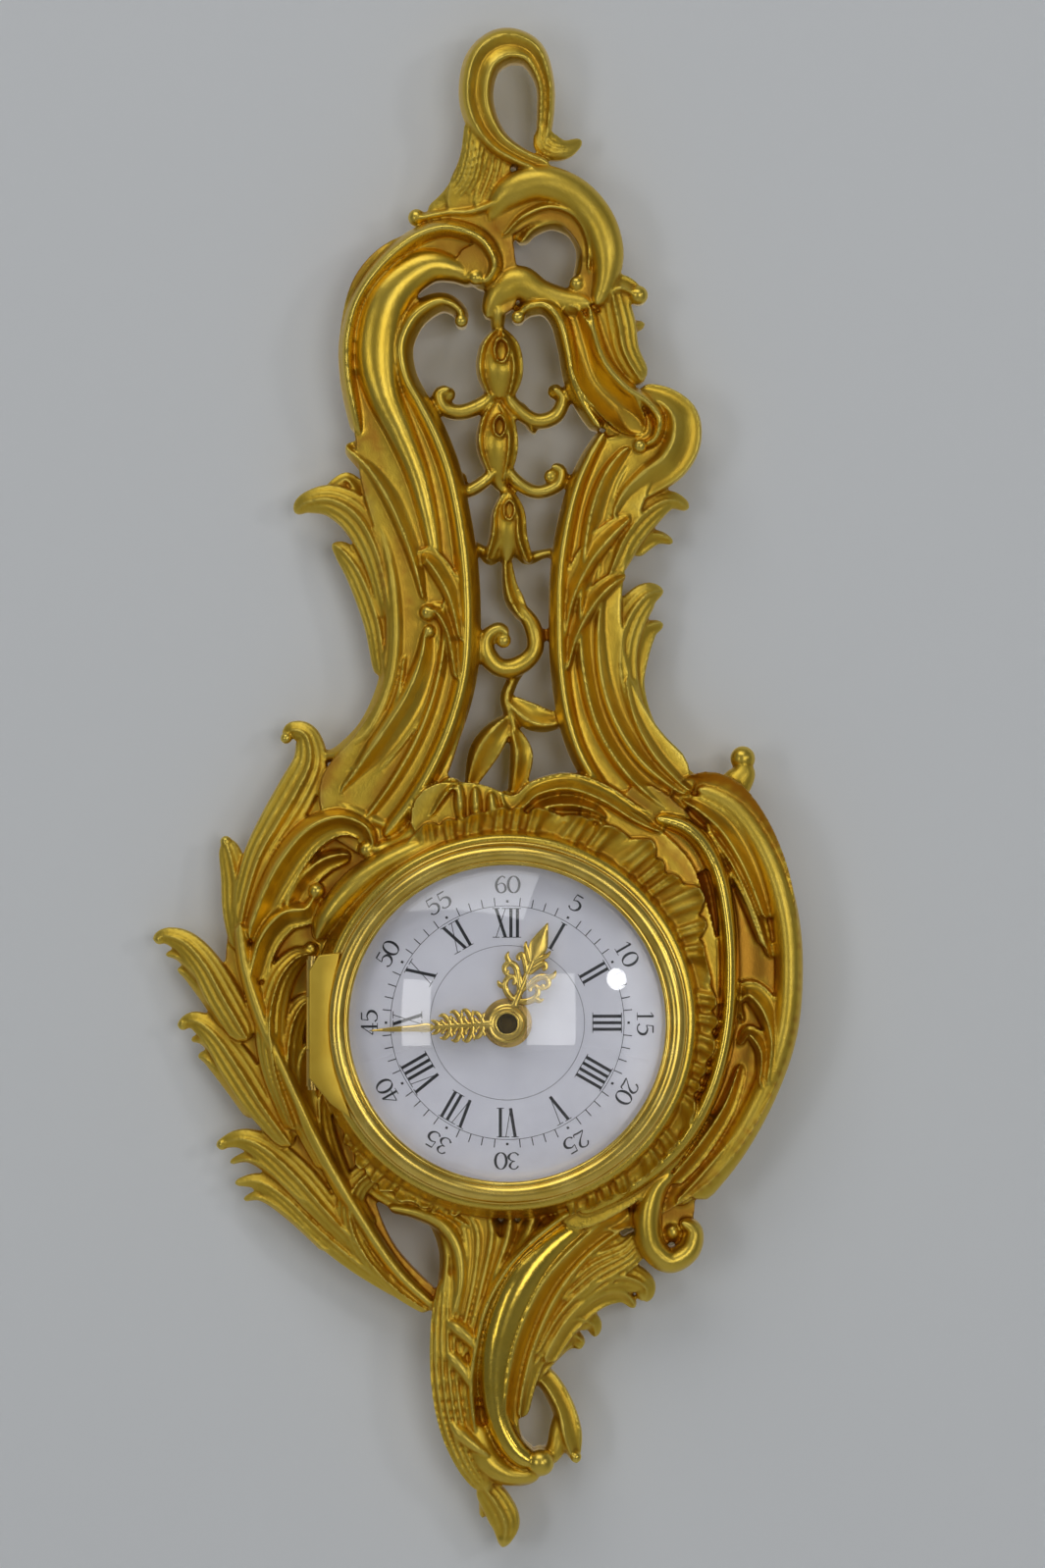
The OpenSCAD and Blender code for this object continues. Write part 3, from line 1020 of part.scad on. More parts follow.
module minute_hand() color(gold) translate([0, 0, minute_hand_z]) rotate(minute_angle)
    hand(minute_outline, minute_holes, minute_hand_len / minute_drawn_len, minute_hub_r, arbor_r + running);
module hand_nut() color(gold) translate([0, 0, minute_hand_z + hand_t]) difference() {
    cylinder(h = nut_front_h, r = hand_nut_r, $fn = 48);
    cylinder(h = nut_front_h, r = arbor_r + running, $fn = 32);
    translate([0, 0, nut_front_h - nut_recess])
        cylinder(h = nut_recess, r = hand_nut_r - nut_rim, $fn = 48);
}

// The drawing turned upright, with the nail hole on the wall at the origin
module seat() translate([0, 0, -hang_up]) rotate([90, 0, 0]) children();
seat() {
    upper_casting();
    body_casting();
    acanthus_casting();
    tail_casting();
    dial_ring();
    movement_drum();
    drum_screws();
    rear_cover();
    hanging_strap();
    strap_screws();
    enamel_dial();
    dial_feet();
    bezel();
    glass();
    glass_retainer();
    hinge_bracket();
    bracket_screws();
    hinge_pin();
    minute_hand();
    hour_hand();
    hand_nut();
    fixing_nut();
    brass_washer();
    rubber_washer();
    movement_front_case();
    movement_back_case();
    minute_arbor();
    friction_spring();
    hour_wheel();
    minute_wheel();
    setting_knob();
    stepper_motor();
    motor_coil();
    circuit_board();
    quartz_can();
    battery();
    positive_contact();
    negative_contact();
}
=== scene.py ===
import math

import bmesh
import bpy
import numpy as np
from mathutils import Matrix, Vector
from mathutils.kdtree import KDTree


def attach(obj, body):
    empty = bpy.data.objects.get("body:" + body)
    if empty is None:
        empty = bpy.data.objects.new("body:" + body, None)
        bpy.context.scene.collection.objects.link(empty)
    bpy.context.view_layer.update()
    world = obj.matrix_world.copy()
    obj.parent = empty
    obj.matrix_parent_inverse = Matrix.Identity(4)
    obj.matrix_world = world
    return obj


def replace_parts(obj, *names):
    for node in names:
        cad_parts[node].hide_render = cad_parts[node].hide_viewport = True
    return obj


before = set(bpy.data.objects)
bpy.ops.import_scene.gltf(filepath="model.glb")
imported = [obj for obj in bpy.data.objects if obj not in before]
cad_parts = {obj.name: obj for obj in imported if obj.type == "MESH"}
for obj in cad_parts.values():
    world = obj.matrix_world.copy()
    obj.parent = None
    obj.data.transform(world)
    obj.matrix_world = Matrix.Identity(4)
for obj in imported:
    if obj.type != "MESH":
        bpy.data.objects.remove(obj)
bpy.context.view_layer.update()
print("frame loaded,", len(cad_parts), "nodes")

mm = 0.001
# the front is drawn on a grid of 0.266 mm steps, right and down; depth is mm out from the wall
drawing = {"step": 414 / 1558, "axis": (517, 1041), "axisHeight": -222.0, "castingBack": 6.0}
bluntEnd = 0.06  # a strand's rounded end keeps about a quarter of its width
weld = 1e-7  # closes the seam of a turned piece, m
tiny = 1e-9  # keeps a division from failing


def onDial(x, y, depth):
    # mm right of and above the dial's axis, mm out from the wall
    return Vector((x * mm, -depth * mm, (drawing["axisHeight"] + y) * mm))


def fromDrawing(route):
    step, (axisX, axisY) = drawing["step"], drawing["axis"]
    return [((p[0] - axisX) * step, (axisY - p[1]) * step, p[2] * step, p[3]) for p in route]


def onDrawing(turn, radius):
    # a place on the drawing: degrees round the dial's axis, grid steps from it
    axisX, axisY = drawing["axis"]
    return axisX + radius * math.cos(math.radians(turn)), axisY - radius * math.sin(math.radians(turn))


def smoothLine(route, steps):
    # a curve through all the stations of a route
    points = np.array(route, float)
    last = len(points) - 1
    line = []
    for i in range(last):
        a, b, c, d = points[max(i - 1, 0)], points[i], points[i + 1], points[min(i + 2, last)]
        for t in np.arange(steps) / steps:
            line.append(0.5 * (2 * b + (c - a) * t + (2 * a - 5 * b + 4 * c - d) * t ** 2
                               + (3 * b - a - 3 * c + d) * t ** 3))
    return np.array(line + [points[last]])


def depthOverBack(x, y, front, up):
    return drawing["castingBack"] + (front - drawing["castingBack"]) * up


def added(extruded, kind):
    # what an extrusion has made of one kind
    return [g for g in extruded["geom"] if isinstance(g, kind)]


def sweep(home, route, section, steps=6, depthAt=depthOverBack, roundEnds=True, polish=0.0, warm=0.0):
    # a capped ring of the section's shape, extruded from station to station along the route
    line = smoothLine(route, steps)
    strip = bmesh.new()
    # the last value marks the hollow floors that get painted shade in the gilt
    names = ("across", "up", "polish", "warm")
    for name in names:
        strip.verts.layers.float.new(name)
    layers = [strip.verts.layers.float[name] for name in names]
    ring = bmesh.ops.create_circle(strip, cap_ends=True, segments=len(section), radius=1)["verts"]
    for vert, (across, up) in zip(ring, section):
        for layer, value in zip(layers, (across, up, polish, warm)):
            vert[layer] = value
    ahead = np.gradient(line[:, :2], axis=0)
    ahead /= np.maximum(np.linalg.norm(ahead, axis=1, keepdims=True), tiny)
    run = np.concatenate([[0], np.cumsum(np.linalg.norm(np.diff(line[:, :2], axis=0), axis=1))])
    strip.faces.ensure_lookup_table()
    cap = strip.faces[0]
    for i, (x, y, half, front) in enumerate(line):
        if i:
            cap = added(bmesh.ops.extrude_face_region(strip, geom=[cap]), bmesh.types.BMFace)[0]
        toEnd = min(run[i], run[-1] - run[i]) / max(half, tiny)
        ease = math.sqrt(max(1 - (1 - min(toEnd, 1)) ** 2, bluntEnd)) if roundEnds else 1
        for vert in cap.verts:
            side = half * ease * vert[layers[0]]
            px, py = x - ahead[i][1] * side, y + ahead[i][0] * side
            vert.co = onDial(px, py, depthAt(px, py, front, vert[layers[1]]))
    bmesh.ops.recalc_face_normals(strip, faces=strip.faces)
    addTo(home, strip)


def addTo(home, part):
    carrier = bpy.data.meshes.new("carrier")
    part.to_mesh(carrier)
    part.free()
    home.from_mesh(carrier)
    bpy.data.meshes.remove(carrier)


def spun(part, verts, closed, centre, axis, turns):
    # a row of points turned once round an axis
    edges = [part.edges.new((a, b)) for a, b in zip(verts, verts[1:])]
    if closed:
        edges.append(part.edges.new((verts[-1], verts[0])))
    bmesh.ops.spin(part, geom=verts + edges, cent=centre, axis=axis, angle=2 * math.pi, steps=turns, use_merge=True)
    bmesh.ops.remove_doubles(part, verts=part.verts, dist=weld)
    bmesh.ops.recalc_face_normals(part, faces=part.faces)


def lathe(home, profile, turns=160, polish=0.0):
    # a profile of (radius, depth) in mm, spun round the dial's axis; one that starts on the axis isn't closed
    part = bmesh.new()
    shine = part.verts.layers.float.new("polish")
    verts = [part.verts.new(onDial(r, 0, depth)) for r, depth in profile]
    for vert in verts:
        vert[shine] = polish
    spun(part, verts, profile[0][0] > 0, onDial(0, 0, 0), (0, 1, 0), turns)
    addTo(home, part)


def slab(outline, depth, thick):
    # an outline in mm round the dial's axis, drawn out from a depth towards the front
    part = bmesh.new()
    face = part.faces.new([part.verts.new(onDial(x, y, depth)) for x, y in outline])
    front = added(bmesh.ops.extrude_face_region(part, geom=[face]), bmesh.types.BMVert)
    bmesh.ops.translate(part, verts=front, vec=(0, -thick * mm, 0))
    bmesh.ops.recalc_face_normals(part, faces=part.faces)
    return part


def block(home, low, high):
    # a box between two corners given as (x, y, depth) in mm
    part = bmesh.new()
    a, b = onDial(*low), onDial(*high)
    bmesh.ops.create_cube(part, size=1, matrix=Matrix.Translation((a + b) / 2)
                          @ Matrix.Diagonal([abs(n) for n in b - a] + [1]))
    addTo(home, part)


ballShape = {"sides": 24, "rings": 14, "stalk": 0.9}


def ball(home, x, y, radius, front, polish=0.0):
    # a pearl on a short stalk that stands on the back of the casting
    part = bmesh.new()
    shine = part.verts.layers.float.new("polish")
    bmesh.ops.create_uvsphere(part, u_segments=ballShape["sides"], v_segments=ballShape["rings"], radius=radius * mm,
                              matrix=Matrix.Translation(onDial(x, y, front - radius)))
    back, stalk = drawing["castingBack"], radius * ballShape["stalk"] * mm
    bmesh.ops.create_cone(part, cap_ends=True, segments=ballShape["sides"], radius1=stalk, radius2=stalk,
                          depth=(front - radius - back) * mm,
                          matrix=Matrix.Translation(onDial(x, y, (front - radius + back) / 2))
                          @ Matrix.Rotation(math.pi / 2, 4, "X"))
    for vert in part.verts:
        vert[shine] = polish
    addTo(home, part)


def newObject(name, part, material=None, sharp=40):
    # a finished piece: its place is in its mesh
    mesh = bpy.data.meshes.new(name)
    part.to_mesh(mesh)
    part.free()
    for extra in ("across", "up"):
        if extra in mesh.attributes:
            mesh.attributes.remove(mesh.attributes[extra])
    return linkMesh(name, mesh, material, sharp)


def linkMesh(name, mesh, material=None, sharp=40):
    mesh.polygons.foreach_set("use_smooth", [True] * len(mesh.polygons))
    mesh.set_sharp_from_angle(angle=math.radians(sharp))
    if material:
        mesh.materials.clear()
        mesh.materials.append(material)
    made = bpy.data.objects.new(name, mesh)
    bpy.context.scene.collection.objects.link(made)
    return made


def reworked(mesh, *steps):
    # the mesh that a row of modifiers makes of this one, each given as its kind and settings
    carrier = bpy.data.objects.new("carrier", mesh)
    bpy.context.scene.collection.objects.link(carrier)
    for kind, settings in steps:
        modifier = carrier.modifiers.new(kind.lower(), kind)
        for key, value in settings.items():
            setattr(modifier, key, value)
    bpy.context.view_layer.update()
    graph = bpy.context.evaluated_depsgraph_get()
    made = bpy.data.meshes.new_from_object(carrier.evaluated_get(graph), depsgraph=graph)
    bpy.data.objects.remove(carrier)
    return made


def linear(hexColour):
    parts = [int(hexColour[i:i + 2], 16) / 255 for i in (1, 3, 5)]
    return [c / 12.92 if c <= 0.04045 else ((c + 0.055) / 1.055) ** 2.4 for c in parts] + [1.0]


def addNode(tree, kind, settings=None, links=None):
    # one node with its settings, its socket values, the stops of its ramp and what feeds its sockets
    node = tree.nodes.new(kind)
    for key, value in (settings or {}).items():
        if key == "stops":
            while len(node.color_ramp.elements) < len(value):
                node.color_ramp.elements.new(0.5)
            for element, (place, colour) in zip(node.color_ramp.elements, value):
                element.position, element.color = place, linear(colour)
        elif isinstance(key, str) and key not in node.inputs:
            setattr(node, key, value)
        else:
            node.inputs[key].default_value = value
    for key, source in (links or {}).items():
        tree.links.new(source, node.inputs[key])
    return node


def newMaterial(name):
    material = bpy.data.materials.new(name)
    material.use_nodes = True
    material.node_tree.nodes.clear()
    return material, material.node_tree


def attribute(tree, name):
    return addNode(tree, "ShaderNodeAttribute", {"attribute_name": name}).outputs["Fac"]


def noise(tree, size, detail):
    # soft lumps of about this size in mm, fixed to the piece
    place = addNode(tree, "ShaderNodeTexCoord").outputs["Object"]
    return addNode(tree, "ShaderNodeTexNoise", {"Scale": 1 / (size * mm), "Detail": detail},
                   {"Vector": place}).outputs["Fac"]


def ramp(tree, value, stops):
    return addNode(tree, "ShaderNodeValToRGB", {"stops": stops}, {"Fac": value}).outputs["Color"]


def between(tree, value, low, high):
    # a value from 0 to 1 moved to between two others
    return addNode(tree, "ShaderNodeMapRange", {"To Min": low, "To Max": high}, {"Value": value}).outputs["Result"]


def swing(tree, value, width):
    # a value from 0 to 1 as a swing of this width round nought
    return addNode(tree, "ShaderNodeMath", {"operation": "MULTIPLY_ADD", 1: width, 2: -width / 2},
                   {0: value}).outputs[0]


def bumped(tree, height, lift, share):
    # a surface that the height lifts by so many mm, shown in part
    return addNode(tree, "ShaderNodeBump", {"Distance": lift * mm, "Strength": share},
                   {"Height": height}).outputs["Normal"]


def shaded(tree, settings, links):
    # the shader of an opaque material and its output
    shader = addNode(tree, "ShaderNodeBsdfPrincipled", settings, links)
    addNode(tree, "ShaderNodeOutputMaterial", links={"Surface": shader.outputs["BSDF"]})


# gold by height from the deepest hollow up, painted darker in the hollows as painted shade and lighter on the raised
# parts as painted highlight; the cove colour is a painted shade, darker and redder, on the matt hollow floors; then
# how uneven, rough, grained and wavy it is; sizes and lifts in mm
giltLook = {"shadeByHeight": [(0.05, "#8c5018"), (0.33, "#c3942f"), (0.5, "#d8b540"), (0.75, "#e4ca60")],
            "cloudSize": 9.0, "cloudSwing": 0.22, "cove": "#b57a2a", "hollowShadeShare": 0.8,
            "matt": 0.5, "burnished": 0.2, "roughSwing": 0.12,
            "grainSize": 0.55, "grainLift": 0.08, "mattGrain": 0.7, "burnishedGrain": 0.04,
            "chaseSize": 2.0, "chaseLift": 0.12, "chaseShare": 0.4}


def fireGiltBronze(look):
    # fire-gilt bronze: yellow matt gold, burnished on its high parts; painted shade darkens the hollows, painted
    # highlight lightens the raised parts, and the matt hollow floors are painted darker and redder
    material, tree = newMaterial("fireGiltBronze")
    polish = attribute(tree, "polish")
    uneven = swing(tree, noise(tree, look["cloudSize"], detail=3.0), look["cloudSwing"])
    # painted shade and painted highlight: the gold is darker where the surface lies in a hollow and lighter where it
    # stands out
    height = addNode(tree, "ShaderNodeMath", {"operation": "ADD", "use_clamp": True},
                     {0: attribute(tree, "relief"), 1: uneven}).outputs[0]
    # painted shade: the matt hollow floors are mixed towards a darker, redder gold
    hollowShadeMix = addNode(tree, "ShaderNodeMath", {"operation": "MULTIPLY", 1: look["hollowShadeShare"]},
                      {0: attribute(tree, "warm")}).outputs[0]
    colour = addNode(tree, "ShaderNodeMix", {"data_type": "RGBA", 7: linear(look["cove"])},
                     {0: hollowShadeMix, 6: ramp(tree, height, look["shadeByHeight"])}).outputs[2]
    # grain of the matting punch: real grains are about 0.2 mm, drawn coarser so that they show
    grain = noise(tree, look["grainSize"], detail=2.0)
    rough = addNode(tree, "ShaderNodeMath", {"operation": "ADD"},
                    {0: between(tree, polish, look["matt"], look["burnished"]),
                     1: swing(tree, grain, look["roughSwing"])}).outputs[0]
    # the chasing tool leaves the surface a little wavy, so that its highlights break up
    wave = bumped(tree, noise(tree, look["chaseSize"], detail=2.0), look["chaseLift"], look["chaseShare"])
    lift = between(tree, polish, look["mattGrain"], look["burnishedGrain"])
    bump = addNode(tree, "ShaderNodeBump", {"Distance": look["grainLift"] * mm},
                   {"Height": grain, "Strength": lift, "Normal": wave}).outputs["Normal"]
    shaded(tree, {"Metallic": 1.0}, {"Base Color": colour, "Roughness": rough, "Normal": bump})
    return material


# the wave pattern repeats every 0.314 of its own units; clouds of tarnish in mm
turnedLook = {"wavePeriod": 0.314, "wander": 0.6, "ringLift": 0.01, "ringShare": 0.25,
              "cloudSize": 6, "darkAt": 0.3, "lightAt": 0.68, "smoothest": 0.8, "roughest": 1.25}


def turnedMetal(name, light, dark, rough, ringSize):
    # metal turned on a lathe: fine rings round the dial's axis that catch the light
    look = turnedLook
    material, tree = newMaterial(name)
    place = addNode(tree, "ShaderNodeTexCoord").outputs["Object"]
    centred = addNode(tree, "ShaderNodeMapping",
                      {"vector_type": "POINT", "Location": (0, 0, -drawing["axisHeight"] * mm)}, {"Vector": place})
    rings = addNode(tree, "ShaderNodeTexWave",
                    {"wave_type": "RINGS", "rings_direction": "Y", "Scale": look["wavePeriod"] / (ringSize * mm),
                     "Distortion": look["wander"], "Detail": 2.0, "Detail Scale": 3.0},
                    {"Vector": centred.outputs["Vector"]})
    cloud = noise(tree, look["cloudSize"], detail=4.0)
    shaded(tree, {"Metallic": 1.0},
           {"Base Color": ramp(tree, cloud, [(look["darkAt"], dark), (look["lightAt"], light)]),
            "Roughness": between(tree, cloud, rough * look["smoothest"], rough * look["roughest"]),
            "Normal": bumped(tree, rings.outputs["Fac"], look["ringLift"], look["ringShare"])})
    return material


speckLook = {"cloudSize": 8, "darkAt": 0.3, "lightAt": 0.7, "smoothest": 0.85, "roughest": 1.15, "liftShare": 0.4}


def speckled(name, light, dark, rough, grainSize, metallic=0.0, lift=0.02, coat=0.0):
    # an even moulded, drawn or coated surface with a fine grain
    look = speckLook
    material, tree = newMaterial(name)
    grain = noise(tree, grainSize, detail=3.0)
    cloud = noise(tree, look["cloudSize"], detail=2.0)
    shaded(tree, {"Metallic": metallic, "Coat Weight": coat},
           {"Base Color": ramp(tree, cloud, [(look["darkAt"], dark), (look["lightAt"], light)]),
            "Roughness": between(tree, grain, rough * look["smoothest"], rough * look["roughest"]),
            "Normal": bumped(tree, grain, lift, look["liftShare"])})
    return material


def clearGlass():
    # polished clock glass, which lets the lamps reach the dial
    material, tree = newMaterial("clearGlass")
    body = addNode(tree, "ShaderNodeBsdfPrincipled", {"Base Color": linear("#f8f8fa"), "Roughness": 0.0, "IOR": 1.5,
                                                      "Transmission Weight": 1.0})
    seeThrough = addNode(tree, "ShaderNodeBsdfTransparent", {"Color": linear("#f6f6f9")})
    ray = addNode(tree, "ShaderNodeLightPath")
    mixed = addNode(tree, "ShaderNodeMixShader", links={0: ray.outputs["Is Shadow Ray"], 1: body.outputs["BSDF"],
                                                        2: seeThrough.outputs["BSDF"]})
    addNode(tree, "ShaderNodeOutputMaterial", links={"Surface": mixed.outputs["Shader"]})
    return material


gilt = fireGiltBronze(giltLook)
# the others: lighter and darker colour, roughness, size of the rings or the grain in mm
# gilding rubbed bright on the lathe: clear gold with faint rings
burnishedGilt = turnedMetal("burnishedGilt", "#efd06a", "#e0bb50", 0.25, 0.35)
# gilding left as it came: a soft even sheen
mattGilt = speckled("mattGilt", "#e0bd4a", "#d2ab3c", 0.42, 0.5, metallic=1.0)
# brass off the lathe: warm yellow with fine rings
turnedBrass = turnedMetal("turnedBrass", "#d9b96a", "#b8954a", 0.27, 0.5)
# brass browned by the air: dark and dull
agedBrass = speckled("agedBrass", "#5a4a22", "#372c14", 0.5, 0.4, metallic=1.0)
# drawn rod and rolled sheet: plain yellow, hardly grained
drawnBrass = speckled("drawnBrass", "#d6b664", "#ad8a42", 0.33, 0.4, metallic=1.0)
# steel as it was rolled: a grey satin
millSteel = speckled("millSteel", "#b9bcc0", "#8f9297", 0.34, 0.5, metallic=1.0)
# nickel plate: pale and shiny
platedSteel = speckled("platedSteel", "#d3d5d6", "#b4b6b8", 0.2, 0.6, metallic=1.0)
# moulded case plastic: black satin with a fine texture
blackAbs = speckled("blackAbs", "#232325", "#161617", 0.5, 0.6, lift=0.04)
# moulded gear plastic: ivory, a little waxy
paleAcetal = speckled("paleAcetal", "#e7e2d2", "#d8d1bd", 0.42, 0.8)
# punched rubber: dull black
blackRubber = speckled("blackRubber", "#1d1d1d", "#121212", 0.8, 0.5, lift=0.05)
# wound wire: reddish, shiny, in fine turns
copperWire = turnedMetal("copperWire", "#c9773f", "#8f4a22", 0.3, 0.3)
# circuit board under its mask: green with a gloss
circuitLaminate = speckled("circuitLaminate", "#3f7a4a", "#2c5f38", 0.4, 0.5, coat=0.3)
# shrunk plastic sleeve: slate with a gloss
batterySleeve = speckled("batterySleeve", "#3a4656", "#28323f", 0.28, 1.5, coat=0.4)
# fired enamel: white and glassy, very slightly rippled
whiteEnamel = speckled("whiteEnamel", "#edeef3", "#e5e6ec", 0.12, 2.5, lift=0.006, coat=0.6)
# fired black paint: a dark line with a faint shine
blackEnamelPaint = speckled("blackEnamelPaint", "#17171a", "#0d0d10", 0.3, 0.6, lift=0.004)
# clear, with sharp reflections
clockGlass = clearGlass()
print("materials made")

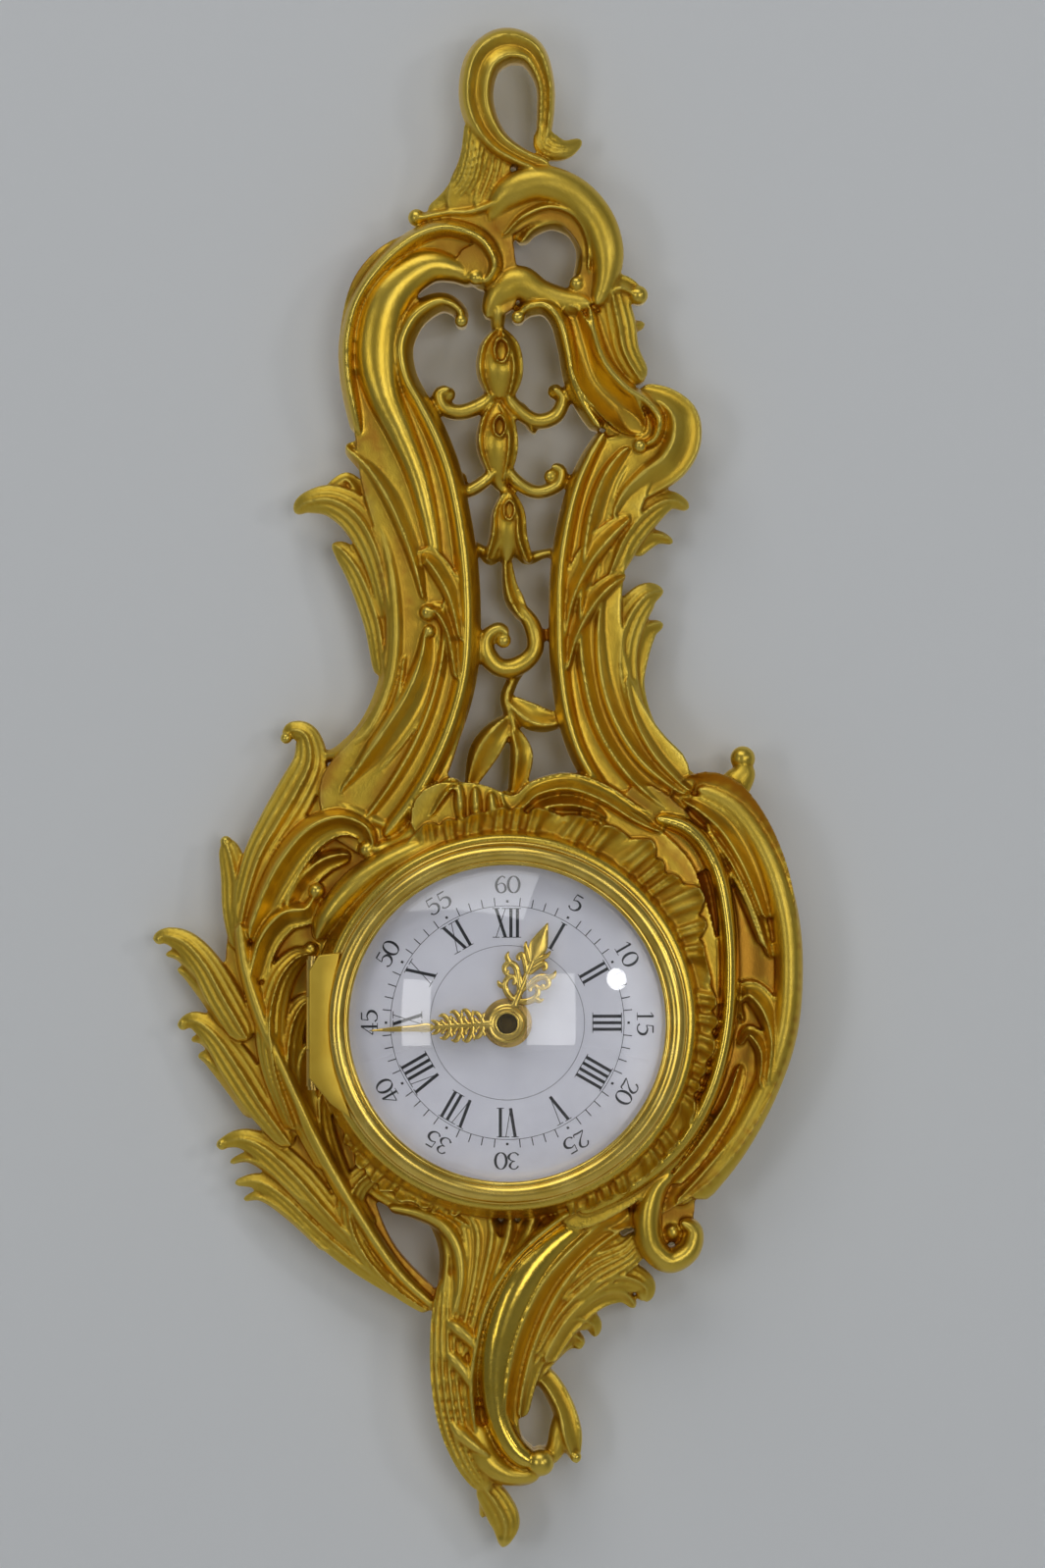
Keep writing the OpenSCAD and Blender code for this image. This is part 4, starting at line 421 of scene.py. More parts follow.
# each route: cross-section, burnish, stations of (across, down, half width, depth)
# upper casting: crest, upper scrolls, both sides of the neck and the husk chain between them
upperRoutes = {
    "crestLoop": ("loop", 0.4, [(552, 148, 7, 13), (556, 112, 9, 15), (555, 80, 10, 17), (541, 51, 15, 19),
        (515, 44, 19, 20), (493, 59, 19, 21), (485, 88, 18, 21), (489, 116, 17, 21), (505, 142, 14, 20),
        (531, 159, 11, 19), (560, 170, 10, 18)]),
    "crestFlare": ("fluted", 0.2, [(552, 126, 8, 13), (558, 144, 14, 13), (576, 148, 10, 12), (593, 138, 4, 9)]),
    "crestSkirt": ("fluted", 0.25, [(486, 118, 13, 18), (483, 150, 13, 18), (476, 180, 14, 17),
        (460, 200, 12, 15), (436, 214, 6, 13)]),
    "crestSkirtSide": ("fluted", 0.25, [(504, 140, 14, 17), (500, 172, 20, 16), (486, 208, 18, 16)]),
    "crestBase": ("floor", 0.1, [(492, 126, 14, 15.5), (492, 165, 26, 15.5), (490, 205, 34, 15.5),
        (506, 250, 18, 15.5), (512, 290, 16, 15.5), (508, 318, 14, 15.5)]),
    "crestCornice": ("rim", 0.3, [(424, 221, 6, 15), (455, 215, 7, 16), (480, 214, 8, 17), (505, 205, 8, 18)]),
    "crestScroll": ("swell", 0.35, [(498, 222, 9, 16), (516, 197, 16, 19), (548, 184, 18, 20), (583, 195, 18, 20),
        (608, 222, 18, 20), (619, 255, 17, 20), (617, 285, 13, 19), (608, 310, 9, 18)]),
    "crestCove": ("floor", 0.1, [(508, 232, 14, 16), (534, 212, 16, 16), (566, 206, 17, 16), (592, 222, 17, 16),
        (606, 252, 14, 16), (602, 282, 12, 16), (592, 304, 14, 16)]),
    "crestComma": ("leaf", 0.5, [(529, 245, 8, 15), (540, 229, 10, 16), (563, 221, 10, 16), (585, 231, 9, 15),
        (595, 252, 8, 15), (592, 275, 7, 15), (586, 288, 6, 15)]),
    "crestPlate": ("swell", 0.4, [(496, 322, 7, 15), (508, 298, 15, 17), (528, 286, 18, 17.5),
        (550, 297, 15, 17.5), (574, 305, 14, 17.5), (602, 308, 12, 17.5)]),
    "leftRim": ("rim", 0.7, [(482, 282, 8, 18), (496, 284, 9, 19), (504, 268, 9, 20), (494, 247, 10, 21),
        (476, 236, 10, 22), (450, 232, 10, 22), (420, 243, 10, 22), (388, 270, 10, 22), (364, 305, 9, 22),
        (354, 343, 9, 22), (354, 380, 9, 21), (360, 414, 9, 20), (366, 440, 8, 18)]),
    "leftCove": ("floor", 0.15, [(484, 266, 14, 17), (452, 253, 18, 17), (415, 266, 28, 17), (391, 296, 34, 17),
        (378, 338, 32, 17), (380, 380, 34, 17), (396, 425, 38, 17), (412, 480, 46, 17), (428, 545, 44, 17),
        (438, 610, 46, 17), (439, 665, 47, 17), (430, 720, 46, 17), (408, 772, 52, 17), (382, 815, 60, 17),
        (352, 862, 60, 17)]),
    "leftSwell": ("swell", 0.6, [(483, 286, 7, 17), (463, 273, 13, 19), (438, 269, 18, 20), (413, 282, 21, 20.5),
        (394, 305, 23, 21), (385, 336, 24, 21), (384, 368, 23, 21), (391, 402, 19, 20.5), (406, 436, 16, 20),
        (424, 480, 14, 19.5), (437, 530, 12, 19), (447, 590, 9, 18)]),
    "leftInnerRim": ("rim", 0.65, [(472, 328, 7, 18), (467, 314, 8, 19), (451, 306, 10, 20), (432, 313, 12, 20),
        (417, 328, 13, 20), (408, 353, 13, 20), (413, 383, 12, 20), (427, 410, 12, 20), (443, 442, 13, 20),
        (457, 480, 13, 20), (467, 526, 13, 20), (474, 580, 14, 20), (476, 640, 14, 20), (472, 690, 14, 20),
        (459, 738, 14, 20), (441, 780, 14, 20), (420, 816, 14, 20), (392, 852, 12, 20)]),
    "leftRidge": ("leaf", 0.4, [(352, 452, 8, 17), (378, 472, 14, 19), (400, 504, 16, 20), (416, 540, 15, 20),
        (427, 575, 12, 20), (434, 612, 7, 19)]),
    "leftRidgeLow": ("leaf", 0.55, [(437, 640, 8, 20), (434, 672, 14, 20.5), (422, 708, 18, 21),
        (403, 740, 19, 21), (381, 770, 16, 20.5), (362, 794, 12, 19), (348, 808, 8, 18)]),
    "leftEdge": ("rim", 0.25, [(372, 505, 8, 16), (391, 548, 11, 17.5), (401, 600, 12, 18.5),
        (403, 655, 13, 18.5), (396, 700, 13, 18.5), (377, 742, 13, 18), (347, 767, 9, 16), (328, 770, 5, 13)]),
    "leftLeaf": ("veined", 0.15, [(299, 521, 5, 11), (311, 511, 11, 14), (338, 509, 17, 16), (366, 528, 20, 17.5),
        (386, 570, 17, 18), (398, 632, 11, 17.5)]),
    "leftLeafTip": ("leaf", 0.15, [(334, 497, 6, 13), (352, 485, 6, 13), (366, 500, 9, 14), (376, 520, 9, 15)]),
    "leftLeafLow": ("veined", 0.15, [(337, 553, 4, 11), (350, 562, 11, 13), (368, 588, 15, 15),
        (385, 636, 15, 16), (391, 690, 11, 17)]),
    "rightHook": ("rim", 0.7, [(528, 323, 7, 16), (537, 312, 9, 18), (556, 310, 10, 19), (570, 325, 10, 20),
        (578, 353, 10, 20), (584, 385, 10, 20), (596, 412, 10, 20), (612, 436, 9, 19)]),
    "rightCove": ("floor", 0.5, [(562, 298, 12, 15), (586, 316, 20, 15), (596, 350, 22, 15), (608, 385, 24, 15),
        (630, 414, 24, 15), (648, 445, 26, 16.5), (628, 490, 34, 16.5), (606, 545, 38, 16.5),
        (597, 610, 37, 16.5), (602, 680, 37, 16.5), (618, 735, 42, 16.5), (646, 785, 48, 16.5),
        (690, 830, 54, 16.5)]),
    "rightRim": ("rim", 0.7, [(601, 312, 7, 18), (607, 345, 8, 20), (618, 372, 8, 21), (638, 395, 8, 21),
        (660, 410, 8, 21), (672, 427, 8, 21), (668, 446, 7, 20), (653, 455, 6, 19)]),
    "rightBell": ("veined", 0.2, [(622, 288, 14, 18), (630, 325, 18, 17.5), (637, 358, 16, 17),
        (654, 388, 14, 17)]),
    "rightBellTop": ("leaf", 0.25, [(612, 300, 10, 17), (632, 288, 11, 18), (652, 298, 8, 16)]),
    "rightBellLip": ("rim", 0.2, [(636, 332, 9, 14), (658, 327, 4, 11)]),
    "rightLobe": ("leaf", 0.3, [(652, 397, 10, 16), (678, 406, 14, 18), (694, 424, 19, 19.5),
        (694, 449, 21, 19.5), (682, 471, 20, 19.5), (660, 487, 18, 19), (640, 505, 14, 18.5), (627, 528, 10, 18)]),
    "rightInnerRim": ("rim", 0.6, [(616, 440, 7, 19), (600, 467, 9, 20), (587, 499, 10, 20), (577, 541, 11, 20),
        (571, 586, 11, 20), (570, 635, 11, 20), (572, 685, 11, 20), (580, 735, 11, 20), (595, 776, 11, 20),
        (620, 812, 10, 20), (652, 838, 8, 20)]),
    "rightRidge": ("leaf", 0.4, [(642, 456, 9, 19), (622, 483, 12, 20), (608, 522, 14, 20), (600, 570, 13, 20),
        (596, 625, 12, 20), (599, 680, 13, 20), (612, 735, 13, 20), (638, 780, 13, 20), (672, 814, 11, 20),
        (700, 834, 8, 20)]),
    "rightRidgeLow": ("leaf", 0.3, [(618, 600, 6, 18), (614, 640, 11, 19), (618, 690, 13, 19.5),
        (633, 735, 14, 19.5), (660, 775, 14, 19.5), (700, 808, 11, 19)]),
    "rightLeaf": ("veined", 0.15, [(703, 516, 5, 11), (684, 508, 10, 14), (660, 520, 17, 16), (638, 546, 18, 18),
        (622, 584, 13, 18.5)]),
    "rightLeafBarb": ("leaf", 0.15, [(687, 551, 3, 10), (668, 546, 8, 12), (644, 562, 10, 14)]),
    "rightLeafLow": ("veined", 0.15, [(677, 601, 5, 11), (659, 606, 14, 14), (640, 632, 19, 16),
        (632, 668, 19, 17), (638, 712, 17, 17.5), (656, 752, 15, 17.5), (690, 790, 12, 17)]),
    "rightBarbLow": ("leaf", 0.15, [(677, 635, 4, 10), (661, 642, 10, 12), (650, 668, 12, 14), (647, 702, 11, 15),
        (662, 746, 10, 15), (698, 790, 8, 15), (738, 812, 6, 14)]),
    "husks1": ("swell", 0.4, [(507, 300, 6, 15), (507, 318, 8, 16), (507, 338, 6, 13)]),
    "husks2": ("swell", 0.4, [(508, 332, 7, 13), (508, 351, 16, 16), (509, 376, 18, 17), (509, 404, 11, 14)]),
    "husks3": ("swell", 0.4, [(507, 400, 5, 12), (506, 428, 13, 15), (506, 455, 16, 16), (511, 500, 6, 12)]),
    "husks4": ("swell", 0.4, [(515, 494, 5, 12), (518, 515, 12, 15), (518, 540, 14, 15), (516, 572, 6, 12)]),
    "huskArms1": ("swell", 0.45, [(505, 396, 6, 14), (491, 410, 8, 15), (470, 418, 8, 15), (453, 414, 8, 15),
        (447, 400, 7, 15), (458, 394, 5, 15)]),
    "huskArms2": ("swell", 0.45, [(514, 396, 6, 14), (526, 414, 8, 15), (546, 427, 8, 15), (566, 422, 8, 15),
        (574, 404, 7, 15), (564, 394, 5, 15)]),
    "huskArms3": ("swell", 0.45, [(506, 476, 6, 14), (492, 490, 7, 15), (475, 499, 7, 15), (463, 492, 7, 15),
        (470, 482, 5, 15)]),
    "huskArms4": ("swell", 0.45, [(516, 476, 6, 14), (530, 492, 7, 15), (548, 500, 7, 15), (568, 493, 7, 15),
        (572, 478, 6, 15), (562, 474, 5, 15)]),
    "huskArms5": ("rim", 0.4, [(512, 556, 5, 12), (500, 568, 7, 12), (488, 557, 5, 12), (472, 552, 5, 12)]),
    "huskArms6": ("rim", 0.4, [(524, 553, 5, 12), (536, 567, 7, 12), (554, 563, 5, 12), (572, 560, 5, 12)]),
    "huskStem": ("leaf", 0.4, [(516, 566, 5, 12), (519, 594, 8, 14), (525, 612, 10, 15), (536, 632, 6, 14)]),
    "huskCurl": ("swell", 0.45, [(524, 612, 6, 13), (542, 636, 9, 14.5), (545, 661, 9, 15), (530, 677, 10, 15),
        (510, 680, 10, 15.5), (496, 666, 10, 16), (496, 649, 8, 16), (508, 640, 7, 16), (518, 646, 5, 16)]),
    "huskTies1": ("floor", 0.4, [(476, 654, 6, 11), (500, 656, 6, 11)]),
    "huskTies2": ("floor", 0.4, [(540, 646, 6, 11), (570, 646, 6, 11)]),
    "sprig1": ("rim", 0.4, [(538, 672, 5, 12), (523, 692, 6, 12), (516, 712, 7, 13), (522, 734, 6, 13),
        (528, 755, 6, 12)]),
    "sprig2": ("leaf", 0.35, [(517, 712, 7, 13), (540, 729, 14, 15), (562, 734, 11, 14), (584, 727, 3, 12)]),
    "sprig3": ("leaf", 0.35, [(520, 730, 6, 13), (505, 748, 14, 15), (491, 770, 15, 14), (478, 802, 6, 12)]),
    "sprig4": ("leaf", 0.35, [(523, 742, 5, 13), (531, 766, 12, 15), (529, 790, 11, 14), (523, 826, 7, 12)]),
    "huskLeaf1": ("leaf", 0.35, [(507, 334, 4, 16), (495, 352, 7, 17.5), (492, 378, 7, 18), (501, 404, 4, 15)]),
    "huskLeaf2": ("leaf", 0.35, [(511, 334, 4, 16), (523, 352, 7, 17.5), (526, 380, 7, 18), (518, 406, 4, 15)]),
    "huskLeaf3": ("leaf", 0.35, [(505, 408, 4, 14), (494, 428, 6, 16.5), (492, 455, 7, 17), (503, 488, 4, 14)]),
    "huskLeaf4": ("leaf", 0.35, [(509, 408, 4, 14), (519, 428, 6, 16.5), (521, 457, 7, 17), (514, 490, 4, 14)]),
    "huskLeaf5": ("leaf", 0.35, [(516, 500, 4, 14), (507, 520, 6, 16), (505, 545, 7, 16.5), (497, 570, 5, 14)]),
    "huskLeaf6": ("leaf", 0.35, [(520, 500, 4, 14), (529, 520, 6, 16), (531, 547, 7, 16.5), (540, 573, 5, 14)]),
    "huskEye1": ("rim", 0.3, [(511, 343, 2.6, 19), (517, 349, 2.6, 19), (518, 359, 2.6, 19), (513, 368, 2.6, 19),
        (506, 366, 2.6, 19), (504, 356, 2.6, 19), (506, 346, 2.6, 19), (511, 343, 2.6, 19)]),
    "huskEye2": ("rim", 0.3, [(509, 421, 2.4, 18), (514, 427, 2.4, 18), (515, 437, 2.4, 18), (510, 444, 2.4, 18),
        (504, 440, 2.4, 18), (503, 430, 2.4, 18), (509, 421, 2.4, 18)]),
    "huskEye3": ("rim", 0.3, [(519, 508, 2.4, 17), (524, 514, 2.4, 17), (524, 523, 2.4, 17), (519, 529, 2.4, 17),
        (514, 524, 2.4, 17), (514, 514, 2.4, 17), (519, 508, 2.4, 17)]),
    "leftCurlFloor": ("floor", 0.2, [(500, 262, 12, 18), (486, 267, 18, 18), (468, 258, 18, 18)]),
    "leftFold": ("leaf", 0.45, [(454, 610, 6, 19), (455, 660, 9, 19.5), (446, 708, 11, 19.5),
        (430, 752, 12, 19.5), (408, 792, 12, 19.5), (384, 826, 11, 19), (362, 850, 8, 18)]),
    "leftFoldLow": ("leaf", 0.25, [(414, 668, 6, 18.5), (409, 706, 9, 19), (394, 744, 11, 19),
        (372, 776, 10, 18.5), (350, 792, 7, 17)]),
    "rightBand": ("cove", 0.5, [(578, 312, 12, 18), (592, 350, 16, 20), (606, 388, 17, 20.5),
        (632, 416, 19, 20.5), (654, 440, 12, 19)]),
    "crestFold": ("leaf", 0.4, [(512, 238, 5, 17), (530, 218, 8, 18.5), (560, 206, 9, 18.5), (588, 216, 9, 18.5),
        (602, 244, 8, 18), (602, 276, 6, 17.5)]),
    "huskLink1": ("floor", 0.3, [(428, 412, 6, 12), (450, 410, 6, 12)]),
    "huskLink2": ("floor", 0.3, [(570, 404, 6, 12), (592, 402, 6, 12)]),
    "huskLink3": ("floor", 0.3, [(450, 488, 6, 12), (468, 490, 6, 12)]),
    "huskLink4": ("floor", 0.3, [(566, 488, 6, 12), (590, 488, 6, 12)]),
    "huskTongue": ("leaf", 0.35, [(528, 408, 4, 14), (538, 424, 7, 14.5), (545, 440, 3, 13)]),
    "rightFlute": ("leaf", 0.25, [(640, 690, 6, 18), (650, 730, 9, 19), (672, 770, 10, 19.5), (706, 806, 8, 19)]),
    "neckCurlLeft": ("leaf", 0.35, [(430, 576, 4, 20), (434, 566, 9, 22), (448, 580, 12, 22.5),
        (463, 610, 11, 22), (471, 652, 7, 21)]),
    "neckTipLeft": ("leaf", 0.3, [(437, 622, 4, 20), (447, 622, 8, 21.5), (460, 646, 9, 21.5), (467, 692, 7, 21)]),
    "neckLeafRight": ("leaf", 0.3, [(574, 652, 5, 19), (580, 610, 10, 21), (598, 570, 13, 22),
        (622, 542, 11, 21.5), (642, 526, 5, 20)]),
    "neckTipRight": ("leaf", 0.3, [(576, 684, 5, 19), (585, 646, 9, 21), (603, 612, 11, 21.5), (624, 592, 8, 21),
        (638, 586, 4, 19)]),
    "leftLeafFill": ("floor", 0.15, [(338, 500, 9, 12), (354, 500, 11, 13)]),
    "collar": ("swell", 0.5, [(322, 958, 7, 20), (334, 935, 13, 23), (358, 907, 16, 24.5), (386, 885, 15, 24.8),
        (417, 868, 14, 24.8), (443, 857, 12, 24), (468, 849, 7, 22)]),
}
# body casting: shell border and right C-scroll
bodyRoutes = {
    "shellRim": ("leaf", 0.55, [(512, 806, 8, 22), (520, 824, 9, 23.5), (532, 818, 10, 25), (548, 805, 11, 26),
        (580, 799, 12, 26), (615, 811, 12, 25), (648, 832, 11, 23.5), (676, 846, 9, 22.5)]),
    "shellLeaf": ("leaf", 0.5, [(660, 812, 12, 17), (625, 818, 13, 19), (600, 834, 13, 21), (580, 846, 9, 20)]),
    "shellLeft": ("leaf", 0.5, [(436, 832, 8, 22), (448, 812, 9, 24), (460, 800, 8, 24), (472, 806, 5, 23)]),
    "cInnerRim": ("swell", 0.85, [(668, 834, 8, 22), (698, 843, 10, 24), (719, 864, 10, 25.2), (734, 900, 10, 26),
        (742, 952, 10, 26), (743, 1010, 10, 26), (738, 1060, 10, 26), (725, 1108, 10, 26), (704, 1150, 10, 25.5),
        (676, 1184, 9, 24.5), (636, 1214, 9, 23.5), (592, 1236, 8, 22.5)]),
    "cFloor": ("cove", 0.3, [(690, 800, 34, 19), (728, 836, 46, 20), (758, 900, 48, 20), (768, 980, 47, 20),
        (760, 1055, 46, 20), (733, 1120, 46, 20), (692, 1172, 46, 19), (645, 1206, 42, 18), (590, 1236, 34, 18)]),
    "cSwell": ("swell", 0.35, [(712, 804, 12, 17), (752, 826, 14, 19), (782, 872, 14, 20.5), (800, 930, 14, 21.5),
        (805, 990, 14, 21.5), (799, 1055, 14, 21), (777, 1118, 14, 20), (745, 1175, 14, 19), (708, 1222, 13, 18)]),
    "cFold": ("leaf", 0.4, [(696, 814, 6, 18), (716, 824, 10, 21), (741, 846, 13, 22), (764, 886, 12, 22),
        (782, 936, 8, 21.5)]),
    "cFoldMid": ("leaf", 0.3, [(720, 838, 4, 19), (733, 856, 8, 21), (752, 884, 10, 21.5), (772, 930, 8, 21),
        (786, 976, 4, 20)]),
    "cFoldLow": ("leaf", 0.35, [(757, 1042, 4, 18), (751, 1022, 7, 20), (764, 1010, 11, 22),
        (782, 1028, 13, 22.5), (790, 1062, 10, 22), (784, 1104, 6, 21)]),
    "cShoulder": ("leaf", 0.35, [(756, 1086, 5, 18), (742, 1128, 9, 19.5), (715, 1170, 11, 20.5),
        (684, 1206, 10, 20.5)]),
    "cVolute": ("swell", 0.5, [(684, 1196, 8, 21), (668, 1212, 12, 22), (660, 1240, 14, 22.5),
        (664, 1270, 14, 22), (682, 1286, 13, 21), (702, 1276, 12, 20), (707, 1256, 10, 19), (694, 1246, 6, 18)]),
    "cVoluteFloor": ("floor", 0.1, [(690, 1200, 20, 14), (684, 1240, 24, 13.5), (686, 1268, 16, 13.5)]),
    "cTopVolute": ("swell", 0.3, [(716, 812, 12, 17), (742, 807, 17, 17), (757, 790, 14, 16), (758, 776, 11, 15)]),
    "shellCorner": ("floor", 0.45, [(640, 806, 20, 18), (680, 845, 26, 20), (712, 890, 22, 20.5)]),
    "shellCurl": ("leaf", 0.5, [(536, 830, 5, 23), (552, 820, 9, 25.5), (580, 816, 11, 26.5), (604, 822, 9, 26),
        (618, 832, 5, 24)]),
    "shellCurlLow": ("leaf", 0.4, [(574, 836, 4, 24), (594, 830, 7, 25.2), (614, 836, 7, 25), (622, 850, 4, 23.5)]),
    "cFoldTip": ("leaf", 0.3, [(738, 884, 3, 18), (747, 890, 6, 20.5), (763, 918, 8, 21), (779, 964, 5, 20.5)]),
    "cFoldTipLow": ("leaf", 0.3, [(754, 1066, 3, 18), (764, 1052, 7, 20.5), (779, 1072, 9, 21.5),
        (776, 1108, 6, 21)]),
    "cFlute": ("leaf", 0.3, [(772, 1120, 5, 18), (750, 1160, 8, 19), (718, 1200, 9, 19.5), (690, 1228, 7, 19)]),
    "shellRib1": ("swell", 0.4, [(470, 842, 4, 22), (469, 820, 7, 24.5), (467, 798, 5, 22.5)]),
    "shellRib2": ("swell", 0.4, [(484, 842, 4, 22), (485, 822, 7, 25), (484, 802, 5, 23)]),
    "shellRib3": ("swell", 0.4, [(500, 840, 4, 22), (502, 824, 7, 25), (500, 807, 5, 23)]),
}
# acanthus casting: the leafy spray on the left
acanthusRoutes = {
    "sprayMidrib": ("swell", 0.3, [(452, 1342, 5, 16), (406, 1299, 7, 18), (366, 1240, 8, 20), (328, 1174, 9, 21),
        (296, 1106, 9, 21.5), (268, 1042, 9, 21.5), (250, 985, 8, 21), (244, 942, 7, 19)]),
    "sprayFloor": ("floor", 0.05, [(446, 1328, 6, 13), (398, 1277, 6, 13.5), (368, 1227, 14, 13),
        (345, 1186, 34, 13), (322, 1146, 51, 12.5), (298, 1080, 58, 12.5), (284, 1010, 56, 12.5),
        (290, 940, 56, 12.5), (322, 880, 54, 12.5), (366, 844, 50, 13.5), (424, 836, 40, 15)]),
    "sprayWeb": ("veined", 0.5, [(372, 1196, 20, 16), (412, 1219, 20, 18.5), (448, 1234, 20, 19.5),
        (478, 1250, 18, 19.5)]),
    "sprayTop": ("veined", 0.2, [(288, 754, 4, 10), (296, 744, 9, 12), (311, 750, 13, 13.5), (315, 776, 18, 15.5),
        (302, 806, 21, 16.5), (282, 840, 20, 17.5), (264, 872, 17, 18), (251, 912, 14, 18), (243, 952, 11, 18)]),
    "sprayLobe": ("leaf", 0.6, [(378, 866, 9, 20), (370, 846, 12, 22), (346, 838, 15, 23), (318, 850, 17, 23),
        (294, 878, 18, 23), (274, 914, 16, 22.5), (256, 958, 12, 21)]),
    "sprayLobeLow": ("leaf", 0.3, [(356, 872, 7, 17), (330, 880, 11, 18), (308, 900, 12, 19), (292, 930, 11, 19)]),
    "sprayHook": ("leaf", 0.45, [(324, 912, 8, 20.5), (314, 930, 12, 21), (290, 936, 15, 21.5),
        (270, 960, 15, 21.5), (258, 1000, 12, 21)]),
    "sprayShoulder": ("rim", 0.35, [(330, 812, 9, 16), (360, 826, 10, 18), (396, 842, 10, 18), (430, 846, 9, 18)]),
    "sprayLeaf1": ("veined", 0.15, [(225, 856, 4, 10), (231, 866, 11, 12), (238, 895, 15, 14.5),
        (240, 930, 15, 16.5), (246, 970, 12, 17.5)]),
    "sprayLeaf2": ("veined", 0.15, [(153, 959, 4, 9), (168, 955, 9, 11), (188, 963, 13, 13), (208, 985, 16, 15.5),
        (227, 1018, 18, 17.5), (252, 1060, 15, 19)]),
    "sprayLeaf3": ("leaf", 0.15, [(178, 989, 3, 9), (194, 996, 9, 11), (216, 1020, 12, 14), (236, 1050, 12, 16)]),
    "sprayLeaf4": ("veined", 0.15, [(179, 1047, 4, 9), (196, 1042, 10, 11.5), (217, 1056, 15, 14),
        (242, 1090, 19, 16.5), (268, 1130, 17, 18.5), (296, 1168, 11, 19)]),
    "sprayLeaf5": ("leaf", 0.15, [(199, 1078, 3, 9), (214, 1082, 9, 11.5), (240, 1108, 13, 14),
        (262, 1140, 12, 16)]),
    "sprayLeaf6": ("veined", 0.15, [(218, 1171, 4, 9), (242, 1163, 10, 12), (268, 1172, 15, 14.5),
        (300, 1200, 18, 16.5), (336, 1240, 15, 18), (372, 1278, 10, 18)]),
    "sprayLeaf7": ("veined", 0.15, [(237, 1209, 3, 9), (262, 1207, 9, 11), (290, 1223, 13, 13.5),
        (325, 1256, 14, 15.5), (366, 1290, 12, 16.5), (412, 1322, 8, 16)]),
    "sprayLeaf8": ("leaf", 0.15, [(314, 1264, 3, 9), (336, 1267, 7, 11), (370, 1291, 9, 13)]),
    "sprayLeaflet1": ("veined", 0.2, [(318, 972, 5, 17), (300, 978, 11, 19), (283, 1002, 15, 21),
        (275, 1042, 16, 22), (280, 1092, 14, 22), (300, 1152, 10, 21)]),
    "sprayLeaflet2": ("veined", 0.2, [(322, 1018, 5, 16), (307, 1026, 11, 18), (296, 1052, 14, 20),
        (294, 1092, 13, 21), (306, 1142, 10, 21), (330, 1192, 7, 20)]),
    "sprayLeaflet3": ("leaf", 0.2, [(325, 1062, 5, 15), (314, 1070, 9, 17.5), (309, 1096, 12, 19),
        (316, 1138, 11, 20), (337, 1187, 8, 20)]),
    "sprayLeaflet4": ("veined", 0.25, [(404, 1200, 8, 17), (384, 1194, 12, 18.5), (362, 1210, 14, 19.5),
        (356, 1242, 13, 19.5), (371, 1280, 11, 18.5), (404, 1316, 8, 17.5), (436, 1338, 6, 16)]),
    "sprayLeaflet5": ("veined", 0.2, [(332, 1104, 6, 15), (325, 1124, 11, 17.5), (329, 1160, 13, 19),
        (347, 1206, 12, 20), (378, 1256, 9, 19)]),
    "sprayLink": ("swell", 0.55, [(446, 802, 9, 20), (434, 836, 12, 20.5), (410, 860, 12, 20.5),
        (382, 866, 9, 20)]),
    "sprayEdge2": ("leaf", 0.15, [(166, 974, 2.5, 9.5), (182, 976, 6, 11.5), (204, 998, 8, 13.5),
        (228, 1034, 8, 16)]),
    "sprayEdge4": ("leaf", 0.15, [(192, 1062, 2.5, 9.5), (206, 1062, 6, 11.5), (228, 1082, 8, 13.5),
        (252, 1118, 8, 16)]),
    "sprayEdge6": ("leaf", 0.15, [(232, 1188, 2.5, 9.5), (252, 1182, 6, 12), (278, 1194, 9, 14),
        (312, 1226, 8, 16)]),
    "sprayEdge7": ("leaf", 0.15, [(246, 1226, 2.5, 9), (266, 1222, 6, 11), (296, 1240, 8, 13), (334, 1276, 7, 15)]),
}
